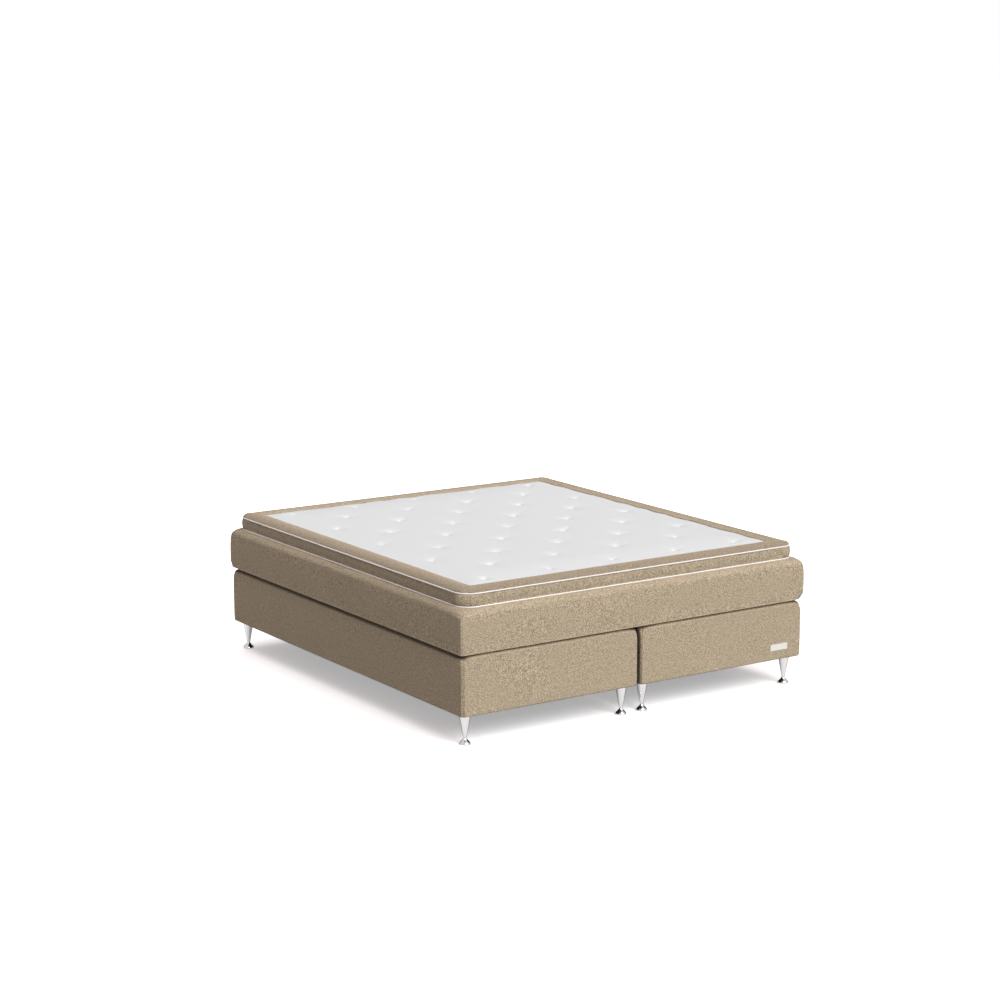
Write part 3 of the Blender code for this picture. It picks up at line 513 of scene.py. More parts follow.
def piping_cloth():
    """White bias tape round the piping cord."""
    cloth = bpy.context.scene.bed_cloth
    finish = Finish("white_piping", roughness=0.62, sheen=0.1)
    slant = finish.node("TexWave", {"Vector": finish.place(), "Scale": 160, "Distortion": 0.6},
                        bands_direction="DIAGONAL").outputs["Fac"]
    soil = finish.noise(finish.place(), scale=14)
    colour = finish.blend(soil, dimmed(cloth.piping, 0.93), cloth.piping)
    return finish.finish(colour, finish.bump(slant, distance=0.0002, strength=0.6))


def non_woven(name, tone, spread, fibre_scale):
    """Pressed fibres, such as a dust cover or the felt of spring pockets, with its grid of bonds."""
    finish = Finish(name, roughness=0.95, sheen=0.05)
    fibres = finish.noise(finish.place(), fibre_scale, detail=6.0, roughness=0.7)
    bonds = finish.node("TexVoronoi", {"Vector": finish.place(), "Scale": fibre_scale * 0.9}).outputs[0]
    colour = finish.blend(fibres, dimmed(tone, 1 - spread), dimmed(tone, 1 + spread))
    relief = finish.math("ADD", fibres, bonds)
    return finish.finish(colour, finish.bump(relief, distance=0.0003, strength=0.5))


def foam_finish():
    """Cream foam with open cells."""
    foam = bpy.context.scene.bed_cloth.foam
    finish = Finish("cream_foam", roughness=0.97)
    cells = finish.node("TexVoronoi", {"Vector": finish.place(), "Scale": 650}).outputs[0]
    yellowing = finish.noise(finish.place(), scale=6, detail=3.0)
    return finish.finish(finish.blend(yellowing, dimmed(foam, 0.9), foam),
                         finish.bump(cells, distance=0.0006, strength=0.6))


def pine_finish(name, along):
    """Planed pine whose grain runs along X or Y, with late-wood rings and fine pores."""
    wood = bpy.context.scene.bed_hardware
    finish = Finish(name, roughness=0.55)
    stretch = (1, 14, 14) if along == "X" else (14, 1, 14)
    rings = finish.node("TexWave", {
        "Vector": finish.place(stretch), "Scale": 1.6, "Distortion": 5.0, "Detail": 3.0,
        "Detail Scale": 1.2}, wave_type="RINGS", rings_direction=along).outputs["Fac"]
    pores = finish.noise(finish.place(stretch), scale=60, detail=4.0)
    colour = finish.blend(finish.math("POWER", rings, 3.0), wood.pine_light, wood.pine_dark)
    relief = finish.bump(finish.math("ADD", rings, pores), distance=0.0004, strength=0.4)
    return finish.finish(colour, relief, finish.between(pores, 0.45, 0.68))


def metal_finish(name, tone, roughness, spread, scratch, grain=(1, 1, 40), graze=0.9):
    """Bare or plated metal: fine turning or brushing lines and a slightly uneven gloss."""
    finish = Finish(name, roughness, metallic=1.0)
    finish.set(finish.shader, {"Specular Tint": (graze, graze, graze, 1)})
    lines = finish.noise(finish.place(grain), scale=60, detail=3.0, roughness=0.6)
    smear = finish.noise(finish.place(), scale=35, detail=3.0)
    gloss = finish.between(finish.mix(0.5, lines, smear), max(roughness - spread, 0.02), roughness + spread)
    return finish.finish(finish.blend(smear, dimmed(tone, 0.92), tone),
                         finish.bump(lines, distance=scratch, strength=0.3), gloss)


def select_only(piece):
    """Make one piece the only selected and the active one."""
    bpy.ops.object.select_all(action="DESELECT")
    piece.select_set(True)
    bpy.context.view_layer.objects.active = piece


def start_editing(piece):
    """Go into edit mode on one piece."""
    select_only(piece)
    bpy.ops.object.mode_set(mode="EDIT")


def stop_editing():
    """Back to object mode."""
    bpy.ops.object.mode_set(mode="OBJECT")


def name_active(name):
    """Name the object that an operator has just added, with its place put into its mesh."""
    piece = bpy.context.active_object
    piece.name = name
    piece.data.name = name
    bpy.ops.object.transform_apply(location=True, rotation=True, scale=True)
    return piece


def add_box(name, low, high):
    """A cube added at the size and place of a box."""
    bpy.ops.object.select_all(action="DESELECT")
    centre = (Vector(low) + Vector(high)) / 2
    bpy.ops.mesh.primitive_cube_add(size=1, location=centre, scale=Vector(high) - Vector(low))
    return name_active(name)


def add_grid(name, low, high, height, columns, rows):
    """A flat grid over the area of a box, at one height."""
    bpy.ops.object.select_all(action="DESELECT")
    bpy.ops.mesh.primitive_grid_add(x_subdivisions=columns, y_subdivisions=rows, size=1,
                                    location=((low.x + high.x) / 2, (low.y + high.y) / 2, height))
    bpy.context.active_object.scale = (high.x - low.x, high.y - low.y, 1)
    return name_active(name)


def pick(piece, kind, wanted):
    """In edit mode, select just the vertices, edges or faces whose vertices and middle pass a test."""
    bpy.ops.mesh.select_mode(type=kind)
    bpy.ops.mesh.select_all(action="DESELECT")
    bm = bmesh.from_edit_mesh(piece.data)
    if kind == "VERT":
        for vert in bm.verts:
            vert.select_set(bool(wanted(vert.co)))
    else:
        for item in (bm.edges if kind == "EDGE" else bm.faces):
            middle = sum((vert.co for vert in item.verts), Vector()) / len(item.verts)
            item.select_set(wanted(middle) and all(wanted(vert.co) for vert in item.verts))
    bmesh.update_edit_mesh(piece.data)


def pick_edges(piece, wanted):
    """In edit mode, select just the edges that pass a test of their own."""
    bpy.ops.mesh.select_mode(type="EDGE")
    bpy.ops.mesh.select_all(action="DESELECT")
    bm = bmesh.from_edit_mesh(piece.data)
    for edge in bm.edges:
        edge.select_set(wanted(edge))
    bmesh.update_edit_mesh(piece.data)


def run_of(edge):
    """From one end of an edge to the other."""
    return edge.verts[1].co - edge.verts[0].co


def bevel(piece, wanted, width, segments, affect="EDGES"):
    """Round the edges, or the corners of an outline, whose vertices pass a test."""
    pick(piece, "VERT" if affect == "VERTICES" else "EDGE", wanted)
    bpy.ops.mesh.bevel(offset=width, segments=segments, profile=0.5, affect=affect,
                       clamp_overlap=False)


def bevel_corners(piece, low, high, radii, segments):
    """Round the four upright edges of a box, by one radius or by one each."""
    corners = [Vector((x, y)) for x in (low[0], high[0]) for y in (low[1], high[1])]
    for corner, radius in zip(corners, np.broadcast_to(radii, 4)):
        bevel(piece, lambda co: (co.xy - corner).length < SAME_PLACE, radius, segments)


def slices(low, high, pitch):
    """Even places strictly between two ends, about a pitch apart."""
    count = max(round((high - low) / pitch), 1)
    return [low + (high - low) * i / count for i in range(1, count)]


def slice_through(piece, axis, places, wanted=None):
    """In edit mode, cut rows of edges square to an axis, right round a piece or through some faces."""
    normal = [0.0, 0.0, 0.0]
    normal[axis] = 1.0
    for place in places:
        if wanted:
            pick(piece, "FACE", wanted)
        else:
            bpy.ops.mesh.select_all(action="SELECT")
        point = [0.0, 0.0, 0.0]
        point[axis] = place
        bpy.ops.mesh.bisect(plane_co=point, plane_no=normal, threshold=SAME_PLACE)


def apply_modifier(piece, name, kind, **settings):
    """Add a modifier, set it and apply it."""
    select_only(piece)
    made = piece.modifiers.new(name, kind)
    for key, value in settings.items():
        setattr(made, key, value)
    bpy.ops.object.modifier_apply(modifier=made.name)


def ripple(piece, size, depth, free=""):
    """Let a stretched cloth wander in and out in soft waves of one size."""
    texture = bpy.data.textures.new(f"{piece.name}_ripple", "CLOUDS")
    texture.noise_scale = size
    texture.noise_depth = 1
    apply_modifier(piece, "ripple", "DISPLACE", texture=texture, strength=depth, mid_level=0.5,
                   vertex_group=free)


def ripple_cover(cover, sizes, low):
    """Let a cover wander in long and in small waves, but for the lip that lies flat under it."""
    mark(cover, "free", lambda co: co.z >= low.z + sizes.bottom_radius / 2)
    ripple(cover, sizes.ripple_size, sizes.ripple, "free")
    ripple(cover, sizes.small_ripple, sizes.ripple / 5, "free")


def give_wall(piece, thickness):
    """Give an open skin its thickness, inwards."""
    apply_modifier(piece, "wall", "SOLIDIFY", thickness=thickness, offset=-1)


def smooth(piece, degrees=50):
    """Shade smooth but for sharp edges."""
    select_only(piece)
    bpy.ops.object.shade_smooth_by_angle(angle=math.radians(degrees))


def lay_cloth_map(piece):
    """Map the cloth in metres on each face, along whichever way the face looks."""
    mesh = piece.data
    layer = mesh.uv_layers.get("cloth") or mesh.uv_layers.new(name="cloth")
    normals = np.empty(len(mesh.polygons) * 3)
    mesh.polygons.foreach_get("normal", normals)
    corners = np.empty(len(mesh.polygons), dtype=np.int64)
    mesh.polygons.foreach_get("loop_total", corners)
    facing = np.repeat(np.argmax(np.abs(normals.reshape(-1, 3)), axis=1), corners)
    index = np.empty(len(mesh.loops), dtype=np.int64)
    mesh.loops.foreach_get("vertex_index", index)
    places = vertex_places(piece)[index]
    across = np.where(facing == 0, places[:, 1], places[:, 0])
    along = np.where(facing == 2, places[:, 1], places[:, 2])
    layer.data.foreach_set("uv", np.column_stack((across, along)).ravel())


def vertex_places(piece):
    """Where a piece's vertices are."""
    found = np.empty(len(piece.data.vertices) * 3)
    piece.data.vertices.foreach_get("co", found)
    return found.reshape(-1, 3)


def put_vertices(piece, places):
    """Move a piece's vertices to new places."""
    piece.data.vertices.foreach_set("co", places.ravel())
    piece.data.update()


def hand_over(piece, body, material, nodes=()):
    """A finished piece gets its material, rides on its body and stands for its nodes."""
    piece.data.materials.clear()
    piece.data.materials.append(material)
    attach(piece, body)
    if nodes:
        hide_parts(*nodes)


def finish_node(node, material):
    """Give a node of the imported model, kept as it is, its detailed material."""
    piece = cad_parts[node]
    piece.data.materials.clear()
    piece.data.materials.append(material)


def order_mesh(piece):
    """Put a mesh's faces and edges in an order that is the same each run, as the simulation follows it."""
    faces = []
    for face in piece.data.polygons:
        corners = list(face.vertices)
        first = corners.index(min(corners))
        faces.append(corners[first:] + corners[:first])
    places = vertex_places(piece)
    mesh = piece.data
    mesh.clear_geometry()
    mesh.from_pydata(places, [], sorted(faces))
    ends = np.empty(len(mesh.edges) * 2, dtype=np.int32)
    mesh.edges.foreach_get("vertices", ends)
    ends = np.sort(ends.reshape(-1, 2), axis=1)
    order = np.lexsort((ends[:, 1], ends[:, 0]))
    used = np.empty(len(mesh.loops), dtype=np.int32)
    mesh.loops.foreach_get("edge_index", used)
    mesh.loops.foreach_set("edge_index", np.argsort(order)[used].astype(np.int32))
    mesh.edges.foreach_set("vertices", ends[order].ravel())
    mesh.update()


def inflate(piece, pinned, pressure, slack, frames, cap):
    """Blow a cloth up between its pinned points, no further than a cap, and keep the result."""
    rest = vertex_places(piece)
    group = piece.vertex_groups.new(name="pinned")
    group.add([int(i) for i in pinned], 1.0, "REPLACE")
    cloth = piece.modifiers.new("cloth", "CLOTH")
    settings = cloth.settings
    settings.quality = 5
    settings.mass = 0.3
    settings.tension_stiffness = 15
    settings.compression_stiffness = 15
    settings.shear_stiffness = 5
    settings.bending_stiffness = 0.3
    settings.vertex_group_mass = group.name
    settings.use_pressure = True
    settings.uniform_pressure_force = pressure
    settings.shrink_min = -slack
    settings.effector_weights.gravity = 0
    cloth.collision_settings.use_collision = False
    cloth.point_cache.frame_start = 1
    cloth.point_cache.frame_end = frames
    for number in range(1, frames + 1):
        bpy.context.scene.frame_set(number)
    select_only(piece)
    bpy.ops.object.modifier_apply(modifier=cloth.name)
    bpy.context.scene.frame_set(1)
    moved = vertex_places(piece) - rest
    length = np.linalg.norm(moved, axis=1, keepdims=True)
    soft = cap * np.tanh(length / cap)
    moved *= np.where(length > 0, soft / np.maximum(length, SAME_PLACE), 0)
    put_vertices(piece, rest + moved)


def grown(sharp, soft, share):
    """A radius that grows from a sharp one to a soft one, ever faster, like a quarter of a circle."""
    return sharp + (np.maximum(sharp, soft) - sharp) * (1 - np.sqrt(1 - share ** 2))


def round_corners(places, middle, half, radius):
    """Draw the upright corners in to round ones, whose radius may change with the height."""
    away = places[:, :2] - middle
    beyond = np.abs(away) - half + radius[:, None]
    corner = (beyond > 0).all(axis=1)
    inside = beyond[corner]
    share = inside.max(axis=1) / np.hypot(inside[:, 0], inside[:, 1])
    centre = half - radius[corner, None]
    places[corner, :2] = middle + np.sign(away[corner]) * (centre + inside * share[:, None])


def cut_lip(cover, low, high, width, first):
    """Turn the bottom into a lip of one width with square inner corners, and open what is inside it."""
    pick(cover, "FACE", lambda co: co.z < low.z + SAME_PLACE)
    bpy.ops.mesh.inset(thickness=width - first, depth=0)
    bpy.ops.mesh.delete(type="FACE")
    stop_editing()
    places = vertex_places(cover)
    middle, half = np.array((low + high) / 2)[:2], np.array((high - low) / 2)[:2]
    inset = half - np.abs(places[:, :2] - middle)
    inner = (places[:, 2] < low.z + SAME_PLACE) & (inset.max(axis=1) > width / 2)
    places[inner, :2] = middle + np.sign(places[inner, :2] - middle) * (half - width)
    put_vertices(cover, places)
    start_editing(cover)
    bpy.ops.mesh.select_all(action="SELECT")
    bpy.ops.mesh.remove_doubles(threshold=SAME_PLACE)


def press_groove(places, middle, half, sizes, fade):
    """Press the seam's groove into the front and rear, beside each upright corner."""
    away = np.abs(places[:, :2] - middle)
    at_seam = np.abs(away[:, 0] - half[0] + sizes.corner_radius) < sizes.groove_width / 4
    at_seam &= away[:, 1] > half[1] - sizes.groove_width / 4
    places[at_seam, 1] -= np.sign(places[at_seam, 1] - middle[1]) * sizes.groove * fade[at_seam]


class BED_OT_base_covers(bpy.types.Operator):
    """Upholster both bases"""

    bl_idname = "bed.base_covers"
    bl_label = "Base covers"

    def execute(self, context):
        # The base cloth carries painted shade under the mattress's edge and between the bases
        cloth = upholstery_cloth("base_upholstery", painted_gap_shade)
        for side in SIDES:
            self.upholster(side, context.scene.bed_base, cloth)
        return {"FINISHED"}

    def upholster(self, side, sizes, cloth):
        node = f"{side}_base_cover"
        low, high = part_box(node)
        wall_low, wall_high = low.z + sizes.bottom_radius, high.z - sizes.top_radius
        cover = add_box(f"{side}_base_upholstery", low, high)
        start_editing(cover)
        bevel_corners(cover, low, high, sizes.corner_radius, 6)
        bevel(cover, lambda co: co.z > high.z - SAME_PLACE, sizes.top_radius, 6)
        bevel(cover, lambda co: co.z < low.z + SAME_PLACE, sizes.bottom_radius, 3)
        cut_lip(cover, low, high, sizes.lip, sizes.bottom_radius)

        def on_wall(co):
            return wall_low - SAME_PLACE < co.z < wall_high + SAME_PLACE

        seam_row = sizes.corner_radius + sizes.groove_width
        for axis in (0, 1):
            start, end = low[axis], high[axis]
            rows = slices(start + sizes.fall_width, end - sizes.fall_width, sizes.slice_pitch)
            for share in (0.45, 0.6, 0.8, 1.0):
                rows += [start + sizes.fall_width * share, end - sizes.fall_width * share]
            slice_through(cover, axis, rows)
            slice_through(cover, axis, [start + seam_row, start + seam_row + EDGE_ROW,
                                        end - seam_row - EDGE_ROW, end - seam_row], on_wall)
        rows = slices(wall_low, wall_high, sizes.slice_pitch)
        slice_through(cover, 2, [wall_low + EDGE_ROW, *rows, wall_high - EDGE_ROW])
        stop_editing()

        places = vertex_places(cover)
        middle = np.array([(low.x + high.x) / 2, (low.y + high.y) / 2])
        half = np.array([high.x - low.x, high.y - low.y]) / 2
        to_top = np.clip((places[:, 2] - high.z) / sizes.corner_rise + 1, 0, 1)
        to_bottom = np.clip(1 - (places[:, 2] - low.z) / sizes.corner_rise, 0, 1)
        inner = np.abs(places[:, 0]) < abs(middle[0])
        press_groove(places, middle, half, sizes, (1 - to_top) * ~inner)
        edge = (half - np.abs(places[:, :2] - middle)).min(axis=1)
        fall = sizes.top_fall * np.clip(1 - edge / sizes.fall_width, 0, 1) ** 2
        places[:, 2] -= fall * np.clip((places[:, 2] - high.z) / sizes.top_radius + 1, 0, 1)
        radius = np.where(inner, sizes.inner_corner, sizes.corner_radius)
        radius = grown(grown(radius, sizes.top_corner, to_top), sizes.bottom_corner, to_bottom)
        round_corners(places, middle, half, radius)
        put_vertices(cover, places)
        ripple_cover(cover, sizes, low)
        give_wall(cover, sizes.wall)
        smooth(cover)
        lay_cloth_map(cover)
        hand_over(cover, "bases", cloth, [node])


def draw_seam_ridge(cover, group_name, radius, name):
    """A sewn ridge that follows the edges of a vertex group on a cover, as a piece of its own."""
    chosen = cover.vertex_groups[group_name].index
    marked = {v.index for v in cover.data.vertices if any(g.group == chosen for g in v.groups)}
    start_editing(cover)
    pick_edges(cover, lambda edge: all(vert.index in marked for vert in edge.verts))
    bpy.ops.mesh.duplicate()
    bpy.ops.mesh.separate(type="SELECTED")
    stop_editing()
    ridge = [o for o in bpy.context.selected_objects if o is not cover][0]
    return round_cord(ridge, radius, name)


def round_cord(outline, radius, name, sides=5):
    """Make the edges of an outline a round cord."""
    select_only(outline)
    outline.name = name
    outline.vertex_groups.clear()
    bpy.ops.object.convert(target="CURVE")
    cord = bpy.context.active_object
    cord.data.dimensions = "3D"
    cord.data.bevel_depth = radius
    cord.data.bevel_resolution = sides
    cord.data.use_fill_caps = True
    bpy.ops.object.convert(target="MESH")
    cord = bpy.context.active_object
    cord.name = name
    cord.data.name = name
    start_editing(cord)
    bpy.ops.mesh.select_all(action="SELECT")
    bpy.ops.mesh.remove_doubles(threshold=SAME_PLACE)
    bpy.ops.mesh.normals_make_consistent(inside=False)
    stop_editing()
    smooth(cord, 60)
    return cord


def mark(piece, name, wanted):
    """Remember the vertices that pass a test in a vertex group."""
    group = piece.vertex_groups.new(name=name)
    group.add([v.index for v in piece.data.vertices if wanted(v.co)], 1.0, "REPLACE")


class BED_OT_mattress_cover(bpy.types.Operator):
    """Cover of the mattress, with rolled edges, swelling sides and sewn corners"""

    bl_idname = "bed.mattress_cover"
    bl_label = "Mattress cover"

    def execute(self, context):
        sizes = context.scene.bed_mattress
        cloth = upholstery_cloth()
        low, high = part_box("mattress_cover")
        cover = add_box("mattress_upholstery", low, high)
        start_editing(cover)
        bevel(cover, lambda co: co.z > high.z - SAME_PLACE, sizes.top_radius, 8)
        bevel(cover, lambda co: co.z < low.z + SAME_PLACE, sizes.bottom_radius, 4)

        def on_mitre(co):
            across, along = high.x - abs(co.x), high.y - abs(co.y)
            return abs(across - along) < SAME_PLACE and across < sizes.top_radius + SAME_PLACE

        bevel(cover, on_mitre, sizes.corner_radius, 6)
        cut_lip(cover, low, high, sizes.seam_inset, sizes.bottom_radius)
        side_low, side_high = low.z + sizes.bottom_radius, high.z - sizes.top_radius

        def on_wall(co):
            return side_low - SAME_PLACE < co.z < side_high + SAME_PLACE

        for axis in (0, 1):
            flat = high[axis] - sizes.top_radius
            slice_through(cover, axis, slices(-flat, flat, sizes.slice_pitch))
            rows = []
            seam_row = sizes.corner_radius + sizes.groove_width
            for inset in (seam_row, seam_row + EDGE_ROW, sizes.top_radius * 0.65, sizes.top_radius):
                rows += [inset - high[axis], high[axis] - inset]
            slice_through(cover, axis, rows, on_wall)
        rows = slices(side_low, side_high, sizes.slice_pitch)
        slice_through(cover, 2, [side_low + EDGE_ROW, *rows, side_high - EDGE_ROW])
        stop_editing()
        mark(cover, "bottom_seam", lambda co: abs(co.z - side_low) < SAME_PLACE)

        places = vertex_places(cover)
        half = np.array([high.x, high.y])
        press_groove(places, np.zeros(2), half, sizes,
                     np.clip((side_high - places[:, 2]) / sizes.bottom_rise, 0, 1))
        round_corners(places, np.zeros(2), half, mattress_corners(places))
        up_side = np.clip((places[:, 2] - side_low) / (side_high - side_low), 0, 1)
        drawn_in = sizes.draw_in * (1 - np.sin(math.pi * up_side))
        places[:, 0] *= 1 - drawn_in / high.x
        places[:, 1] *= 1 - drawn_in / high.y
        put_vertices(cover, places)
        ripple_cover(cover, sizes, low)
        ridge = draw_seam_ridge(cover, "bottom_seam", sizes.seam_radius, "mattress_bottom_seam")
        give_wall(cover, sizes.wall)
        smooth(cover)
        lay_cloth_map(cover)
        hand_over(cover, "mattress", cloth, ["mattress_cover"])
        lay_cloth_map(ridge)
        hand_over(ridge, "mattress", cloth)
        return {"FINISHED"}


def mattress_corners(places):
    """Radius of the mattress's upright corners: sharp halfway up, rounder at the top and the bottom."""
    sizes = bpy.context.scene.bed_mattress
    low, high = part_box("mattress_cover")
    to_top = np.clip((places[:, 2] - high.z) / sizes.top_rise + 1, 0, 1)
    to_bottom = np.clip(1 - (places[:, 2] - low.z) / sizes.bottom_rise, 0, 1)
    at_bottom = np.where(places[:, 1] > 0, sizes.rear_corner, sizes.bottom_corner)
    at_bottom = np.where(places[:, 0] > 0, sizes.right_corner, at_bottom)
    return grown(grown(sizes.corner_radius, sizes.top_corner, to_top), at_bottom, to_bottom)


def wander(places):
    """Let the seam between border and panel bow in and out a little, on both pieces alike."""
    sizes = bpy.context.scene.bed_topper
    low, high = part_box("topper_top_panel")
    flat = places[:, :2].copy()
    for axis, seam, end in ((0, high.x, high.y), (1, high.y, high.x)):
        along = flat[:, 1 - axis]
        near = np.exp(-((np.abs(flat[:, axis]) - seam) / sizes.wander_reach) ** 2)
        calm_end = np.clip(2 * (end - np.abs(along)) / sizes.wander_pitch, 0, 1)
        sway = SWAY * np.sin(SWAY_RATE * along + axis)
        bow = np.cos(2 * math.pi * along / sizes.wander_pitch + sway)
        places[:, axis] += np.sign(flat[:, axis]) * sizes.wander * bow * near * calm_end
        places[:, 2] += sizes.wander / 3 * bow * near * calm_end


def topper_half_size():
    """Half the topper's width and length at its pipings."""
    sizes = bpy.context.scene.bed_topper
    low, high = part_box("topper_top_panel")
    reach = sizes.panel_gap + sizes.border_width
    return high.x + reach, high.y + reach


def topper_outline(name, half_x, half_y, radius, height, pitch):
    """The closed outline of the topper, as edges, with round corners and even points."""
    bpy.ops.object.select_all(action="DESELECT")
    bpy.ops.mesh.primitive_plane_add(size=1, location=(0, 0, height), scale=(2 * half_x, 2 * half_y, 1))
    bpy.context.active_object.scale = (2 * half_x, 2 * half_y, 1)
    outline = name_active(name)
    start_editing(outline)
    bevel(outline, lambda co: True, radius, TOPPER_CORNER_STEPS, "VERTICES")
    bpy.ops.mesh.select_all(action="SELECT")
    bpy.ops.mesh.delete(type="ONLY_FACE")
    for axis, half in ((0, half_x), (1, half_y)):
        pick_edges(outline, lambda edge: abs(run_of(edge)[axis]) > half)
        bpy.ops.mesh.subdivide(number_cuts=round(2 * (half - radius) / pitch) - 1)
    stop_editing()
    return outline


def inset_outline(flat, half_x, half_y, radius, inset, least):
    """Where the outline's points lie on a parallel outline further in, whose corners stay round."""
    centre = np.array([half_x, half_y]) - radius
    beyond = np.clip(np.abs(flat) - centre, 0, None)
    new_radius = max(radius - inset, least)
    new_centre = np.array([half_x, half_y]) - inset - new_radius
    on_edge = new_centre + new_radius * beyond / radius
    straight = np.abs(flat) * new_centre / centre
    return np.sign(flat) * np.where(beyond > SAME_PLACE, on_edge, straight)


def border_profile(sizes):
    """Side and top of the border as (inset, height above the lower seam), with the two seams' places."""
    side = []
    for share in (0, 0.06, 0.14, 0.25, 0.38, 0.5, 0.62, 0.75, 0.86, 0.94, 1):
        draw = sizes.seam_draw if 0 < share < 0.1 or 0.9 < share < 1 else 0
        side.append((draw - sizes.bulge * math.sin(math.pi * share), sizes.side_height * share))
    rise_steps = round(sizes.crown_place / sizes.mesh_pitch) + 1
    rise = []
    for i in range(1, rise_steps + 1):
        angle = math.pi / 2 * i / rise_steps
        rise.append((sizes.crown_place * (1 - math.cos(angle)),
                     sizes.side_height + sizes.crown * math.sin(angle)))
    fall_width = sizes.border_width - sizes.crown_place
    fall_steps = round(fall_width / sizes.mesh_pitch)
    fall = []
    for i in range(1, fall_steps + 1):
        share = i / fall_steps
        drop = (sizes.crown - sizes.seam_rise) * share ** 2
        fall.append((sizes.crown_place + fall_width * share, sizes.side_height + sizes.crown - drop))
    return side + rise + fall, len(side) - 1


class BED_OT_topper_border(bpy.types.Operator):
    """Beige border of the topper: swelling side and domed top frame with mitred corners"""

    bl_idname = "bed.topper_border"
    bl_label = "Topper border"

    def execute(self, context):
        sizes = context.scene.bed_topper
        half_x, half_y = topper_half_size()
        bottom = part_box("topper_border")[0].z
        border = topper_outline("topper_border_cloth", half_x, half_y, sizes.corner_radius, bottom,
                                sizes.mesh_pitch)
        count = len(border.data.vertices)
        profile, upper_seam = border_profile(sizes)
        start_editing(border)
        bpy.ops.mesh.select_all(action="SELECT")
        for (_, below), (_, above) in zip(profile, profile[1:]):
            bpy.ops.mesh.extrude_edges_move(TRANSFORM_OT_translate={"value": (0, 0, above - below)})
        bpy.ops.mesh.select_all(action="SELECT")
        bpy.ops.mesh.normals_make_consistent(inside=False)
        stop_editing()

        places = vertex_places(border)
        outer = places[:, :2].copy()
        ring = np.arange(len(places)) // count
        for i, (inset, height) in enumerate(profile):
            here = ring == i
            places[here, :2] = inset_outline(outer[here], half_x, half_y, sizes.corner_radius, inset,
                                             sizes.sharp_radius)
            places[here, 2] = bottom + height
        beyond = np.abs(outer) - np.array([half_x, half_y]) + sizes.corner_radius
        mitre = (beyond > SAME_PLACE).all(axis=1) & (np.abs(beyond[:, 0] - beyond[:, 1]) < SAME_PLACE)
        mitre &= ring > upper_seam
        places[mitre, 2] -= sizes.seam_sink
        put_vertices(border, places)

        held = mitre | np.isin(ring, (0, upper_seam, len(profile) - 1))
        order_mesh(border)
        inflate(border, np.flatnonzero(held), pressure=3.0, slack=0.012, frames=16, cap=0.004)
        places = vertex_places(border)
        wander(places)
        put_vertices(border, places)
        give_wall(border, sizes.wall)
        smooth(border, 70)
        lay_cloth_map(border)
        # The border cloth carries painted shade and light on its frame and side
        hand_over(border, "topper", upholstery_cloth("border_upholstery", painted_frame_shade),
                  ["topper_border"])
        return {"FINISHED"}


class BED_OT_topper_pipings(bpy.types.Operator):
    """White cords sewn round the topper's lower and upper seams"""

    bl_idname = "bed.topper_pipings"
    bl_label = "Topper pipings"

    def execute(self, context):
        sizes = context.scene.bed_topper
        white = piping_cloth()
        half_x, half_y = topper_half_size()
        reach = sizes.piping_radius + THIN_GAP
        for name in ("topper_lower_piping", "topper_upper_piping"):
            low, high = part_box(name)
            outline = topper_outline(f"{name}_cord", half_x + reach, half_y + reach,
                                     sizes.corner_radius + reach, (low.z + high.z) / 2, sizes.cord_pitch)
            cord = round_cord(outline, sizes.piping_radius, f"{name}_cord", sides=4)
            ripple(cord, sizes.cord_wave, sizes.piping_radius * sizes.cord_ripple)
            hand_over(cord, "topper", white, [name])
        return {"FINISHED"}


def tuft_places():
    """Tufts in staggered rows, two sets of rows half a pitch apart."""
    sizes = bpy.context.scene.bed_topper
    low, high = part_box("topper_top_panel")
    limit_x, limit_y = high.x - sizes.tuft_margin, high.y - sizes.tuft_margin
    rows = int(2 * limit_y / sizes.tuft_pitch_y)
    columns = int(2 * limit_x / sizes.tuft_pitch_x)
    found = []
    for row in range(-rows, rows + 1):
        for column in range(-columns, columns + 1):
            x = (column + (row % 2) / 2) * sizes.tuft_pitch_x
            y = row * sizes.tuft_pitch_y / 2
            if abs(x) <= limit_x and abs(y) <= limit_y:
                found.append((x, y))
    return found


def crease_tufts(places, sizes):
    """Press short creases into the cloth that run out from each tuft."""
    dice = np.random.default_rng(7)
    low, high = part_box("topper_top_panel")
    edge = np.minimum(high.x - np.abs(places[:, 0]), high.y - np.abs(places[:, 1]))
    near_edge = np.clip(edge / sizes.tuft_margin, 0, 1)
    for x, y in tuft_places():
        here = np.flatnonzero(np.hypot(places[:, 0] - x, places[:, 1] - y) < 1.3 * sizes.crease_length)
        away = places[here, :2] - (x, y)
        count = int(dice.integers(4, 7))
        turn = dice.uniform(0, 2 * math.pi)
        for i in range(count):
            bearing = turn + 2 * math.pi * i / count + dice.uniform(-0.4, 0.4)
            length = sizes.crease_length * dice.uniform(0.5, 1.2)
            depth = sizes.crease * dice.uniform(0.5, 1.0)
            along = away[:, 0] * math.cos(bearing) + away[:, 1] * math.sin(bearing)
            across = away[:, 1] * math.cos(bearing) - away[:, 0] * math.sin(bearing)
            across += 0.12 * along * np.sin(along / sizes.crease_length * 4 + i)
            fade = np.where(along > 0, np.clip(1 - along / length, 0, 1) ** 1.5, 0)
            places[here, 2] -= depth * fade * near_edge[here] * np.exp(-(across / sizes.crease_width) ** 2)


